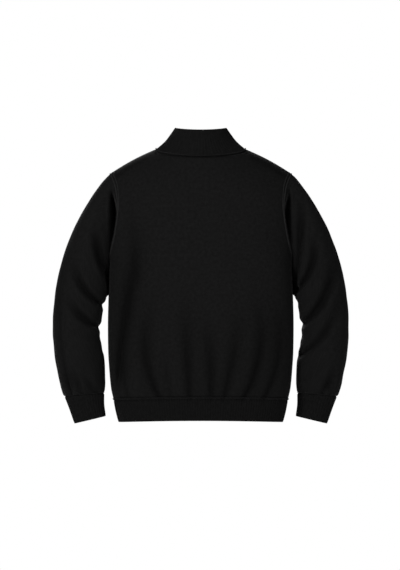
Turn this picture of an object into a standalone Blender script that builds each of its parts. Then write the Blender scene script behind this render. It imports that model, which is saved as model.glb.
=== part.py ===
"""A zip-up cardigan in fine black knit, filled out as if worn, with nothing inside it.

Metres, +Z up. The back faces +Y and the zip faces -Y, so the wearer's left is +X. The origin is in the
middle of the neck opening, at the height of the two points where the shoulder seams meet the collar.
Every cloth piece is a grid of points on its outer face, and a wall of even thickness behind it.
"""

import math
from collections import namedtuple

import bpy
import numpy as np

# Cloth
WALL = 0.0022  # thickness of the knit
SEAM = 0.0003  # gap between two pieces at a seam
RIB_RISE = 0.0009  # how far a rib stands out
HEM_RIBS = 160
CUFF_RIBS = 36
RIBS_PER_NECK_STEP = 3
HEM_INNER_STEP, CUFF_INNER_STEP = 5, 3  # outer points to one point of the wall's plain inside

# Body
NECK_HALF = 0.115  # half the neck opening's width, where the shoulder seams begin
SHOULDER_HALF = 0.2265  # half the width across the shoulder points
SHOULDER_DROP = 0.060  # shoulder point below the neck point
ARMHOLE_DEPTH = 0.225  # shoulder point to armpit, straight down
BACK_NECK_DROP = 0.0175
FRONT_NECK_DROP = 0.060
HEM_SEAM_Z = -0.6165  # middle of the hem seam
HEM_SEAM_SAG = 0.0045  # its ends are this much lower
HEM_Z = -0.6760
HEM_SAG = 0.0040
HEM_HALF = 0.2050
HEM_BACK, HEM_FRONT = 0.0930, 0.0985
ROUNDING = 0.120  # height over which the back and chest round up to the shoulder line
SQUARENESS = 2.4  # power of the body's section: 2 is an ellipse, more is squarer

# Zip
ZIP_EDGE = 0.008  # the front edges stand this far from the middle
CHAIN_HALF, CHAIN_THICK = 0.0030, 0.0024
TAPE_OUTER, TAPE_THICK = 0.0170, 0.0008
TAPE_BEHIND = 0.0003  # gap between the cloth and the tape sewn behind it
TAPE_ABOVE_HEM, TAPE_BELOW_RIM = 0.0030, 0.0012
SLIDER_BELOW_RIM = 0.016
BOX_SIZE = (0.0060, 0.0034, 0.0084)
BOX_UP = 0.0085  # its middle above the hem's edge, along the zip
STOP_SIZE = (0.0022, 0.0026, 0.0030)
STOP_SIDE, STOP_DOWN = 0.0019, 0.0035  # a stop's middle, from the middle and from the tapes' top
PLATE_SIZE = (0.0086, 0.0012, 0.0110)  # the slider's front and rear plates
POST_SIZE, POST_UP = (0.0012, 0.0040), 0.0036
BRIDGE_REACH = 0.0036  # how far the bridge stands out from the slider's front plate
BRIDGE_HALF = 0.0031  # half its height
BRIDGE_WIDE, BRIDGE_THICK = 0.0018, 0.0011
BRIDGE_UP = 0.0005
PIVOT_OUT = 0.0013  # the pull tab's bar lies this far in front of the plate
BAR_HALF = 0.0006  # half the pull tab's thickness
EYE_HALF, EYE_DEPTH, EYE_WALL = 0.0013, 0.0044, 0.0013
PULL_LENGTH = 0.026

# Grid
ARMHOLE_STEPS = 8
NECK_STEPS = 6
SIDE_STEPS = 10
EVENING = 3  # how often the normals along the neck seam are evened out
ARMHOLE_LEAN = 0.9  # how far the wall leans out over the sleeve, as a share of its turn to the back

Level = namedtuple("Level", "z half back front")
BODY_LEVELS = [
    Level(-0.6210, 0.2178, 0.0965, 0.1020),
    Level(-0.5950, 0.2235, 0.1010, 0.1075),
    Level(-0.5500, 0.2278, 0.1040, 0.1120),
    Level(-0.5000, 0.2308, 0.1040, 0.1135),
    Level(-0.4400, 0.2315, 0.1015, 0.1130),
    Level(-0.3600, 0.2298, 0.1000, 0.1140),
    Level(-0.2850, 0.2280, 0.1025, 0.1150),
    Level(-0.2600, 0.2297, 0.1035, 0.1145),
    Level(-0.2000, 0.2350, 0.1035, 0.1110),
    Level(-0.1200, 0.2410, 0.1000, 0.0980),
    Level(-0.0600, 0.2450, 0.0920, 0.0800),
    Level(0.0600, 0.2500, 0.0700, 0.0560),
]

# The armhole edge: how far it lies from the middle of the body, down from the shoulder point
Armhole = namedtuple("Armhole", "drop back_x front_x")
ARMHOLE = [
    Armhole(0.0000, 0.2265, 0.2265),
    Armhole(0.0150, 0.2190, 0.2175),
    Armhole(0.0400, 0.2115, 0.2085),
    Armhole(0.0900, 0.2065, 0.2020),
    Armhole(0.1400, 0.2125, 0.2075),
    Armhole(0.1775, 0.2200, 0.2170),
    Armhole(0.2050, 0.2265, 0.2250),
    Armhole(0.2250, 0.2280, 0.2280),
]

# Rows of the body panels below the armpit, as drops from the shoulder point at the side seam
LOWER_DROPS = [0.280, 0.335, 0.390, 0.435, 0.475, 0.508, 0.535, 0.553, 0.561]

# A trough in the cloth: it is deep at its start and fades towards its end
Fold = namedtuple("Fold", "start_x start_z end_x end_z bow width depth")
BACK_FOLDS = [
    Fold(0.1035, -0.620, 0.1235, -0.385, 0.0250, 0.0100, 0.0048),
    Fold(0.0735, -0.620, 0.0880, -0.490, 0.0030, 0.0080, 0.0022),
    Fold(0.0260, -0.620, 0.0360, -0.400, 0.0010, 0.0090, 0.0038),
    Fold(-0.0265, -0.620, -0.0180, -0.455, -0.0040, 0.0085, 0.0036),
    Fold(-0.0680, -0.620, -0.1015, -0.430, -0.0020, 0.0095, 0.0036),
    Fold(-0.1090, -0.620, -0.1465, -0.395, -0.0230, 0.0100, 0.0046),
    Fold(-0.1615, -0.620, -0.1930, -0.405, -0.0220, 0.0100, 0.0034),
    Fold(0.1960, -0.610, 0.1620, -0.285, 0.0185, 0.0150, 0.0036),
]
SEAM_FOLD = 0.2  # how much of a trough's depth is left where the hem band holds the cloth
FRONT_FOLDS = [
    Fold(0.0560, -0.620, 0.0640, -0.420, 0.0050, 0.0095, 0.0034),
    Fold(0.1080, -0.620, 0.1330, -0.400, 0.0160, 0.0100, 0.0044),
    Fold(0.1580, -0.620, 0.1840, -0.360, 0.0200, 0.0110, 0.0036),
    Fold(-0.0480, -0.620, -0.0600, -0.455, -0.0040, 0.0090, 0.0032),
    Fold(-0.0930, -0.620, -0.1180, -0.385, -0.0170, 0.0100, 0.0044),
    Fold(-0.1480, -0.620, -0.1800, -0.420, -0.0200, 0.0100, 0.0038),
]

# Sleeve sections, on the wearer's left: each is a slice from the outer contour to the underarm
Section = namedtuple("Section", "outer_x outer_z inner_x inner_z depth keep crease")
SLEEVE = [
    Section(0.2265, -0.0600, 0.2280, -0.2850, 0.0600, 1.00, 0.00),
    Section(0.2348, -0.0675, 0.2287, -0.2875, 0.0605, 0.66, 0.20),
    Section(0.2460, -0.0800, 0.2294, -0.2910, 0.0610, 0.38, 0.32),
    Section(0.2598, -0.0983, 0.2301, -0.2960, 0.0620, 0.18, 0.24),
    Section(0.2750, -0.1205, 0.2309, -0.3025, 0.0630, 0.07, 0.12),
    Section(0.2903, -0.1450, 0.2317, -0.3100, 0.0640, 0.00, 0.04),
    Section(0.3068, -0.1750, 0.2325, -0.3190, 0.0650, 0.00, 0.00),
    Section(0.3213, -0.2050, 0.2332, -0.3290, 0.0660, 0.00, 0.00),
    Section(0.3333, -0.2350, 0.2339, -0.3400, 0.0665, 0.00, 0.00),
    Section(0.3438, -0.2650, 0.2346, -0.3525, 0.0660, 0.00, 0.00),
    Section(0.3523, -0.2950, 0.2358, -0.3670, 0.0650, 0.00, 0.00),
    Section(0.3595, -0.3263, 0.2410, -0.3840, 0.0640, 0.00, 0.00),
    Section(0.3645, -0.3600, 0.2448, -0.4040, 0.0630, 0.00, 0.00),
    Section(0.3685, -0.3950, 0.2475, -0.4250, 0.0620, 0.00, 0.00),
    Section(0.3703, -0.4275, 0.2512, -0.4460, 0.0605, 0.00, 0.00),
    Section(0.3703, -0.4600, 0.2530, -0.4640, 0.0590, 0.00, 0.00),
    Section(0.3680, -0.4900, 0.2490, -0.4838, 0.0570, 0.00, 0.00),
    Section(0.3635, -0.5212, 0.2430, -0.5112, 0.0545, 0.00, 0.00),
    Section(0.3562, -0.5562, 0.2395, -0.5450, 0.0515, 0.00, 0.00),
    Section(0.3477, -0.5900, 0.2385, -0.5800, 0.0470, 0.00, 0.00),
    Section(0.3400, -0.6150, 0.2408, -0.6065, 0.0395, 0.00, 0.00),
]
CUFF = [
    Section(0.3380, -0.6151, 0.2422, -0.6069, 0.0360, 0.00, 0.00),
    Section(0.3285, -0.6400, 0.2425, -0.6300, 0.0325, 0.00, 0.00),
    Section(0.3142, -0.6845, 0.2385, -0.6660, 0.0295, 0.00, 0.00),
]
CUFF_FORWARD = 0.041  # how far the cuff's end hangs in front of the shoulder
SLEEVE_FORWARD = 0.035

SLEEVE_BACK_FOLDS = {
    +1: [
        Fold(0.2420, -0.381, 0.3080, -0.298, -0.0040, 0.0080, 0.0052),
        Fold(0.2530, -0.434, 0.3260, -0.368, -0.0040, 0.0080, 0.0048),
        Fold(0.2310, -0.330, 0.2600, -0.225, -0.0050, 0.0090, 0.0060),
        Fold(0.3200, -0.610, 0.3400, -0.540, 0.0030, 0.0080, 0.0020),
        Fold(0.2900, -0.610, 0.3180, -0.530, 0.0000, 0.0080, 0.0022),
    ],
    -1: [
        Fold(0.2310, -0.330, 0.2700, -0.170, -0.0060, 0.0090, 0.0060),
        Fold(0.2440, -0.383, 0.2640, -0.335, 0.0000, 0.0070, 0.0040),
        Fold(0.2520, -0.430, 0.3280, -0.312, -0.0080, 0.0085, 0.0054),
        Fold(0.2550, -0.497, 0.3470, -0.380, -0.0060, 0.0110, 0.0034),
        Fold(0.2880, -0.612, 0.3250, -0.540, 0.0040, 0.0085, 0.0028),
    ],
}
SLEEVE_FRONT_FOLDS = {
    +1: [
        Fold(0.2440, -0.383, 0.3050, -0.330, 0.0000, 0.0080, 0.0044),
        Fold(0.2530, -0.434, 0.3300, -0.400, 0.0030, 0.0085, 0.0050),
        Fold(0.2540, -0.490, 0.3300, -0.480, 0.0030, 0.0090, 0.0034),
    ],
    -1: [
        Fold(0.2440, -0.383, 0.3100, -0.318, 0.0000, 0.0080, 0.0044),
        Fold(0.2520, -0.430, 0.3250, -0.425, 0.0030, 0.0085, 0.0050),
        Fold(0.2530, -0.470, 0.3200, -0.500, 0.0030, 0.0090, 0.0036),
    ],
}

# The collar between its seam (rise 0) and its rim (rise 1)
Band = namedtuple("Band", "rise half")
COLLAR = [
    Band(0.00, 0.1150),
    Band(0.10, 0.1068),
    Band(0.22, 0.0985),
    Band(0.42, 0.0870),
    Band(0.70, 0.0752),
    Band(1.00, 0.0633),
]
RIM_SIDE_Z, RIM_BACK_Z, RIM_FRONT_Z = 0.0540, 0.0505, 0.0430
RIM_BACK_Y, RIM_FRONT_Y = 0.0560, -0.0760

BLACK_JERSEY = (0.0120, 0.0120, 0.0125)
BLACK_RIB = (0.0105, 0.0105, 0.0110)
BLACK_TAPE = (0.0140, 0.0140, 0.0145)
BLACK_METAL = (0.0300, 0.0300, 0.0320)


def clear_scene():
    for obj in list(bpy.data.objects):
        bpy.data.objects.remove(obj)


def material(name, colour, roughness, metallic):
    made = bpy.data.materials.new(name)
    made.use_nodes = True
    shader = made.node_tree.nodes["Principled BSDF"]
    shader.inputs["Base Color"].default_value = (*colour, 1)
    shader.inputs["Roughness"].default_value = roughness
    shader.inputs["Metallic"].default_value = metallic
    return made


def smooth_curve(keys, values):
    """A smooth curve through a table's column that never swings past its values."""
    keys, values = np.array(keys, float), np.array(values, float)
    if keys[0] > keys[-1]:
        keys, values = keys[::-1], values[::-1]
    step = np.diff(keys)
    slope = np.diff(values) / step
    tangent = np.zeros(len(values))
    tangent[0], tangent[-1] = slope[0], slope[-1]
    for i in range(1, len(values) - 1):
        if slope[i - 1] * slope[i] > 0:
            tangent[i] = 2 * slope[i - 1] * slope[i] / (slope[i - 1] + slope[i])

    def at(x):
        x = np.clip(x, keys[0], keys[-1])
        i = np.clip(np.searchsorted(keys, x) - 1, 0, len(step) - 1)
        t = (x - keys[i]) / step[i]
        ahead = values[i + 1] * t * t * (3 - 2 * t) + tangent[i + 1] * step[i] * t * t * (t - 1)
        return values[i] * (1 + 2 * t) * (1 - t) ** 2 + tangent[i] * step[i] * t * (1 - t) ** 2 + ahead

    return at


def ease(low, high, x):
    t = np.clip((x - low) / (high - low), 0, 1)
    return t * t * (3 - 2 * t)


half_at = smooth_curve([level.z for level in BODY_LEVELS], [level.half for level in BODY_LEVELS])
back_at = smooth_curve([level.z for level in BODY_LEVELS], [level.back for level in BODY_LEVELS])
front_at = smooth_curve([level.z for level in BODY_LEVELS], [level.front for level in BODY_LEVELS])
armhole_x = {
    +1: smooth_curve([row.drop for row in ARMHOLE], [row.back_x for row in ARMHOLE]),
    -1: smooth_curve([row.drop for row in ARMHOLE], [row.front_x for row in ARMHOLE]),
}


def shoulder_line(x):
    return -SHOULDER_DROP * (np.abs(x) - NECK_HALF) / (SHOULDER_HALF - NECK_HALF)


def neckline(x, face):
    drop = BACK_NECK_DROP if face > 0 else FRONT_NECK_DROP
    return -drop * np.sqrt(np.clip(1 - (x / NECK_HALF) ** 2, 0, 1))


def hem_seam(x):
    return HEM_SEAM_Z - HEM_SEAM_SAG * (x / BODY_LEVELS[0].half) ** 2


def body_depth(x, z, face):
    """How far the body's surface lies from the side seams' plane, at the back (face 1) or front (-1)."""
    share = np.clip(np.abs(x) / half_at(z), 0, 1)
    full = (back_at(z) if face > 0 else front_at(z)) * (1 - share**SQUARENESS) ** (1 / SQUARENESS)
    below = np.clip((shoulder_line(x) - z) / ROUNDING, 0, 1)
    return face * full * np.sqrt(1 - (1 - below) ** 2)


def fold_depth(x, z, folds):
    """The depth of all troughs at a place, seen from the front or the back."""
    total = np.zeros(np.shape(x))
    for fold in folds:
        run = np.array([fold.end_x - fold.start_x, fold.end_z - fold.start_z])
        length = np.hypot(*run)
        along = ((x - fold.start_x) * run[0] + (z - fold.start_z) * run[1]) / length**2
        across = ((x - fold.start_x) * run[1] - (z - fold.start_z) * run[0]) / length
        across = across - fold.bow * 4 * along * (1 - along)
        reach = ease(-0.35, -0.1, along) * (1 - ease(0.45, 1.0, along))
        total += fold.depth * np.exp(-((across / fold.width) ** 2)) * reach
    return total


def grid_normals(grid, closed=False):
    """The unit normal at each point of a grid of rows (upwards) and columns."""
    if closed:
        along = np.roll(grid, -1, 1) - np.roll(grid, 1, 1)
    else:
        along = np.gradient(grid, axis=1)
    up = np.gradient(grid, axis=0)
    normal = np.cross(along, up)
    return normal / np.maximum(np.linalg.norm(normal, axis=2, keepdims=True), 1e-12)


def unit(vectors):
    return vectors / np.maximum(np.linalg.norm(vectors, axis=-1, keepdims=True), 1e-12)


def panel_shares(top_neck_share):
    """Where the columns lie between the middle and the edge: (shares low down, shares at the top)."""
    neck = [top_neck_share * math.sin(math.pi / 2 * i / NECK_STEPS) for i in range(NECK_STEPS)]
    side = [math.sin(math.pi / 2 * i / SIDE_STEPS) for i in range(SIDE_STEPS + 1)]
    top = neck + [top_neck_share + (1 - top_neck_share) * s for s in side]
    count = NECK_STEPS + SIDE_STEPS
    low = [math.sin(math.pi / 2 * i / count) ** (2 / SQUARENESS) for i in range(count + 1)]
    return np.array(low), np.array(top)


def panel_drops():
    armhole = [
        ARMHOLE_DEPTH / 2 * (1 - math.cos(math.pi * i / ARMHOLE_STEPS)) for i in range(ARMHOLE_STEPS + 1)
    ]
    return np.array((armhole + LOWER_DROPS)[::-1])


def panel(face, side, start):
    """Half a body panel: rows from the hem seam up, columns from `start` out to the side and armhole.

    The last column is the side seam and armhole, and the last row is the neckline and shoulder seam.
    """
    top_share = (NECK_HALF - start) / (SHOULDER_HALF - start)
    low, top = panel_shares(top_share)
    drops = panel_drops()
    rise = 1 - drops / drops[0]
    edge_z = -SHOULDER_DROP - drops
    edge_x = np.where(drops <= ARMHOLE_DEPTH, armhole_x[face](drops), half_at(edge_z))
    mix = ease(0.55, 1.0, rise)[:, None]
    x = start + (edge_x[:, None] - start) * (low * (1 - mix) + top * mix)
    top_x = start + (SHOULDER_HALF - start) * top
    top_z = np.where(top_x < NECK_HALF - 1e-9, neckline(top_x, face), shoulder_line(top_x))
    bottom = hem_seam(x)
    z = bottom + (top_z[None, :] - bottom) * rise[:, None]
    y = body_depth(x, z, face)
    y[-1, NECK_STEPS:] = 0.0
    y[drops >= ARMHOLE_DEPTH - 1e-9, -1] = 0.0
    grid = np.stack([side * x, y, z], axis=2)
    folds = BACK_FOLDS if face > 0 else FRONT_FOLDS
    ease_side = 1 - ease(0.93, 1.0, low)[None, :]
    at_seam = SEAM_FOLD + (1 - SEAM_FOLD) * ease(0.0, 0.045, rise)[:, None]
    depth = fold_depth(side * x, z, folds) * ease_side * at_seam * (1 - ease(0.80, 0.95, rise)[:, None])
    normal = grid_normals(grid)
    normal = np.where(normal[..., 1:2] * face < -1e-6, -normal, normal)
    return grid - normal * depth[..., None]


def armhole_loop(side, back, front):
    """The armhole's points from the shoulder point down the back, past the armpit and up the front."""
    rows = range(len(back) - 1, len(back) - 2 - ARMHOLE_STEPS, -1)
    down = [back[r, -1] for r in rows]
    up = [front[r, -1] for r in rows][::-1]
    corners = np.array(down + up[1:-1])
    between = (corners + np.roll(corners, -1, 0)) / 2
    return np.stack([corners, between], axis=1).reshape(-1, 3)


def section_points(section, angles, side, forward):
    along = (1 + np.cos(angles)) / 2
    x = section.inner_x + (section.outer_x - section.inner_x) * along
    z = section.inner_z + (section.outer_z - section.inner_z) * along
    y = section.depth * np.sign(np.sin(angles)) * np.abs(np.sin(angles)) ** 0.85 - forward
    return np.stack([side * x, y, z], axis=1)


def section_axis(section, side):
    """The direction square to a section's plane."""
    slant = np.array([side * (section.outer_x - section.inner_x), 0, section.outer_z - section.inner_z])
    return np.cross(unit(slant), (0, 1, 0))


def sleeve(side, loop):
    """Rows from the armhole down to the cuff seam, columns round from the outer contour by the back."""
    count = len(loop)
    angles = 2 * math.pi * np.arange(count) / count
    first = section_points(SLEEVE[0], angles, side, 0.0)
    scoop = loop - first
    turn = np.degrees(np.minimum(angles, 2 * math.pi - angles))
    tucked = ease(18, 60, turn) * (1 - ease(150, 176, turn))
    rows = []
    for k, section in enumerate(SLEEVE):
        share = k / (len(SLEEVE) - 1)
        forward = SLEEVE_FORWARD * share**2
        points = section_points(section, angles, side, forward) + section.keep * scoop
        points[:, 1] *= 1 - section.crease * tucked
        middle = points.mean(axis=0)
        x, z = side * points[:, 0], points[:, 2]
        at_back = ease(-0.35, 0.35, np.sin(angles))
        depth = fold_depth(x, z, SLEEVE_BACK_FOLDS[side]) * at_back
        depth += fold_depth(x, z, SLEEVE_FRONT_FOLDS[side]) * (1 - at_back)
        depth *= ease(0, 4, k) * (1 - ease(len(SLEEVE) - 3, len(SLEEVE), k + 0.5))
        rows.append(points - unit(points - middle) * depth[:, None])
    rows[0] = loop.copy()
    return np.array(rows)


def add_mesh(name, points, faces, finish):
    mesh = bpy.data.meshes.new(name)
    mesh.from_pydata([tuple(p) for p in points], [], faces)
    mesh.materials.append(finish)
    mesh.shade_smooth()
    mesh.set_sharp_from_angle(angle=math.radians(50))
    made = bpy.data.objects.new(name, mesh)
    bpy.context.scene.collection.objects.link(made)
    return made


def shell(name, outer, inner, finish, closed=False):
    """A wall between two grids with the same rows. The outer one may have several columns to one inner."""
    rows, many, few = outer.shape[0], outer.shape[1], inner.shape[1]
    ratio = many // few if closed else (many - 1) // (few - 1)
    points = np.concatenate([outer.reshape(-1, 3), inner.reshape(-1, 3)])
    faces = []

    def out(r, c):
        return r * many + c % many

    def within(r, c):
        return rows * many + r * few + c % few

    for r in range(rows - 1):
        for c in range(many if closed else many - 1):
            faces.append((out(r, c), out(r, c + 1), out(r + 1, c + 1), out(r + 1, c)))
        for c in range(few if closed else few - 1):
            faces.append((within(r, c), within(r + 1, c), within(r + 1, c + 1), within(r, c + 1)))
    for r in (0, rows - 1):
        for c in range(few if closed else few - 1):
            a, b = within(r, c), within(r, c + 1)
            rim = [out(r, c * ratio + i) for i in range(ratio + 1)]
            if ratio == 1:
                strip = [(rim[0], a, b, rim[1])]
            else:
                half = ratio // 2
                strip = [(rim[i], a, rim[i + 1]) for i in range(half)]
                strip.append((rim[half], a, b))
                strip += [(rim[i], b, rim[i + 1]) for i in range(half, ratio)]
            faces += strip if r == 0 else [face[::-1] for face in strip]
    if not closed:
        for c, d, flip in ((0, 0, False), (many - 1, few - 1, True)):
            for r in range(rows - 1):
                face = (out(r, c), out(r + 1, c), within(r + 1, d), within(r, d))
                faces.append(face[::-1] if flip else face)
    if volume(points, faces) < 0:
        faces = [face[::-1] for face in faces]
    return add_mesh(name, points, faces, finish)


def volume(points, faces):
    total = 0.0
    for face in faces:
        for i in range(1, len(face) - 1):
            total += np.dot(points[face[0]], np.cross(points[face[i]], points[face[i + 1]]))
    return total / 6


def box(centre, size, up):
    """Corners of a block whose third side runs along `up`, in the plane x = constant."""
    up = unit(np.array(up, float))
    out = np.array([0.0, -up[2], up[1]])
    across = np.array([1.0, 0.0, 0.0])
    corners = []
    for a in (-0.5, 0.5):
        for b in (-0.5, 0.5):
            for c in (-0.5, 0.5):
                corners.append(centre + a * size[0] * across + b * size[1] * out + c * size[2] * up)
    faces = [(0, 1, 3, 2), (4, 6, 7, 5), (0, 4, 5, 1), (2, 3, 7, 6), (0, 2, 6, 4), (1, 5, 7, 3)]
    if volume(corners, faces) < 0:
        faces = [face[::-1] for face in faces]
    return corners, faces


class Cloth:
    """A piece's outer grid, its normals, and the seams along which it draws back from its neighbours."""

    def __init__(self, grid, closed=False, outward=None):
        self.grid = grid
        self.closed = closed
        self.normal = grid_normals(grid, closed)
        if outward is not None and np.sum(self.normal * outward) < 0:
            self.normal = -self.normal

    def draw_back(self, here, inside, gap=SEAM / 2):
        """Moves the seam points at `here` by a part of the seam's gap towards the points at `inside`."""
        points, normals = self.grid[here].copy(), self.normal[here]
        if self.closed:
            run = np.roll(points, -1, 0) - np.roll(points, 1, 0)
        else:
            run = np.gradient(points, axis=0)
        across = unit(np.cross(run, normals))
        inwards = np.sum(across * (self.grid[inside] - points), axis=1)
        across *= np.where(inwards < 0, -1, 1)[:, None]
        self.grid[here] = points + across * gap

    def part_sides(self, here, face):
        """Moves the points of a side or shoulder seam half a gap off the plane that the seam lies in."""
        self.grid[here][..., 1] += face * SEAM / 2

    def inner(self):
        return self.grid - WALL * self.normal


def place_key(point):
    return tuple(np.round(point, 6) + 0.0)


def armhole_normals(points, side):
    """Away from the armhole's middle, and leaning out over the sleeve at the back and the front."""
    away = points - points.mean(axis=0)
    spread = np.abs(away).max(axis=0)
    away = unit(away * np.array([0, 1 / spread[1], 1 / spread[2]]))
    away[:, 0] = side * ARMHOLE_LEAN * np.abs(away[:, 1])
    return unit(away)


def weld_normals(pieces, armholes, neck):
    """Gives the points that several pieces share at a seam one normal, so their walls meet edge to edge.

    Round the armholes the normals are given, and along the neck seam they are evened out.
    """
    shared = {}
    for piece in pieces:
        for point, normal in zip(piece.grid.reshape(-1, 3), piece.normal.reshape(-1, 3)):
            shared[place_key(point)] = shared.get(place_key(point), 0) + normal
    normals = unit(np.array([shared[place_key(point)] for point in neck]))
    for _ in range(EVENING):
        before = np.concatenate([normals[:1], normals[:-1]])
        after = np.concatenate([normals[1:], normals[-1:]])
        normals = unit(before + 2 * normals + after)
    for points, given in [(neck, normals), *armholes]:
        for point, normal in zip(points, given):
            shared[place_key(point)] = normal
    for piece in pieces:
        flat = [unit(shared[place_key(point)]) for point in piece.grid.reshape(-1, 3)]
        piece.normal = np.array(flat).reshape(piece.grid.shape)


def collar_grid(neck, steps):
    """Rows from the seam to the rim. `neck` is the seam from the left front, round the back, to the right."""
    ring = np.array(
        [neck[i] + (neck[i + 1] - neck[i]) * j / steps for i in range(len(neck) - 1) for j in range(steps)]
        + [neck[-1]]
    )
    share = np.linspace(0, 1, len(ring))
    rows = []
    for band in COLLAR:
        begin = math.asin(ZIP_EDGE / band.half)
        angle = begin + (2 * math.pi - 2 * begin) * share
        middle = (RIM_BACK_Y + RIM_FRONT_Y) / 2
        rim_y = middle - (RIM_BACK_Y - RIM_FRONT_Y) / 2 * np.cos(angle)
        ends = np.where(np.cos(angle) < 0, RIM_BACK_Z, RIM_FRONT_Z)
        rim_z = RIM_SIDE_Z + (ends - RIM_SIDE_Z) * np.abs(np.cos(angle)) ** 1.5
        x = band.half * np.sin(angle)
        y = ring[:, 1] + (rim_y - ring[:, 1]) * band.rise
        z = ring[:, 2] + (rim_z - ring[:, 2]) * band.rise
        rows.append(np.stack([x, y, z], axis=1))
    rows[0] = ring
    return np.array(rows)


def even_loop(points, count, closed):
    """Points spaced evenly along a line."""
    if closed:
        points = np.concatenate([points, points[:1]])
    length = np.concatenate([[0], np.cumsum(np.linalg.norm(np.diff(points, axis=0), axis=1))])
    at = np.linspace(0, length[-1], count + 1)[: count if closed else count + 1]
    return np.stack([np.interp(at, length, points[:, i]) for i in range(3)], axis=1)


def raised(grid, normal, rows):
    """Every second column stands out as a rib, on the given rows."""
    lifted = grid.copy()
    for r in rows:
        lifted[r, 1::2] += RIB_RISE * normal[r, 1::2]
    return lifted


def hem_ring(half, depth_at, count):
    """A ring open at the front, from the left front edge round the back to the right one."""
    fine = np.linspace(0, 2 * math.pi, 1441)
    x = half * np.sign(np.sin(fine)) * np.abs(np.sin(fine)) ** (2 / SQUARENESS)
    behind = np.cos(fine) < 0
    y = np.where(behind, depth_at(x, 1), depth_at(x, -1))
    kept = (np.abs(x) > ZIP_EDGE) | behind
    line = np.stack([x, y, np.zeros(len(x))], axis=1)[kept]
    edge_y = depth_at(np.array([ZIP_EDGE]), -1)[0]
    ends = [np.array([[side * ZIP_EDGE, edge_y, 0.0]]) for side in (1, -1)]
    return even_loop(np.concatenate([ends[0], line, ends[1]]), count, False)


def level_normals(ring):
    run = np.gradient(ring, axis=0)
    normal = unit(np.stack([run[:, 1], -run[:, 0], np.zeros(len(ring))], axis=1))
    outward = ring * np.array([1, 1, 0])
    return normal * np.where(np.sum(normal * outward, axis=1) < 0, -1, 1)[:, None]


def hem_bottom_depth(x, face):
    share = np.clip(np.abs(x) / HEM_HALF, 0, 1)
    return face * (HEM_BACK if face > 0 else HEM_FRONT) * (1 - share**SQUARENESS) ** (1 / SQUARENESS)


def build_hem(finish):
    count = HEM_RIBS * 2
    top = hem_ring(BODY_LEVELS[0].half, lambda x, face: body_depth(x, hem_seam(x), face), count)
    top[:, 2] = hem_seam(top[:, 0]) - SEAM
    bottom = hem_ring(HEM_HALF, hem_bottom_depth, count)
    bottom[:, 2] = HEM_Z - HEM_SAG * (bottom[:, 0] / HEM_HALF) ** 2
    grid = np.array([bottom, top])
    normal = np.array([level_normals(bottom), level_normals(top)])
    inner = (grid - WALL * normal)[:, ::HEM_INNER_STEP]
    shell("hem_rib", raised(grid, normal, (0, 1)), inner, finish)
    return inner


def build_cuff(side, finish):
    count = CUFF_RIBS * 2
    fine = np.linspace(0, 2 * math.pi, 721)[:-1]
    rows, normals = [], []
    for section in CUFF:
        forward = SLEEVE_FORWARD if section is CUFF[0] else CUFF_FORWARD
        ring = even_loop(section_points(section, fine, side, forward), count, True)
        run = np.roll(ring, -1, 0) - np.roll(ring, 1, 0)
        normal = unit(np.cross(run, section_axis(section, side)))
        if np.sum(normal * (ring - ring.mean(axis=0))) < 0:
            normal = -normal
        rows.append(ring)
        normals.append(normal)
    grid, normal = np.array(rows), np.array(normals)
    inner = (grid - WALL * normal)[:, ::CUFF_INNER_STEP]
    shell(f"cuff_{name_of(side)}", raised(grid, normal, range(len(CUFF))), inner, finish, closed=True)


def name_of(side):
    return "left" if side > 0 else "right"


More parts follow.
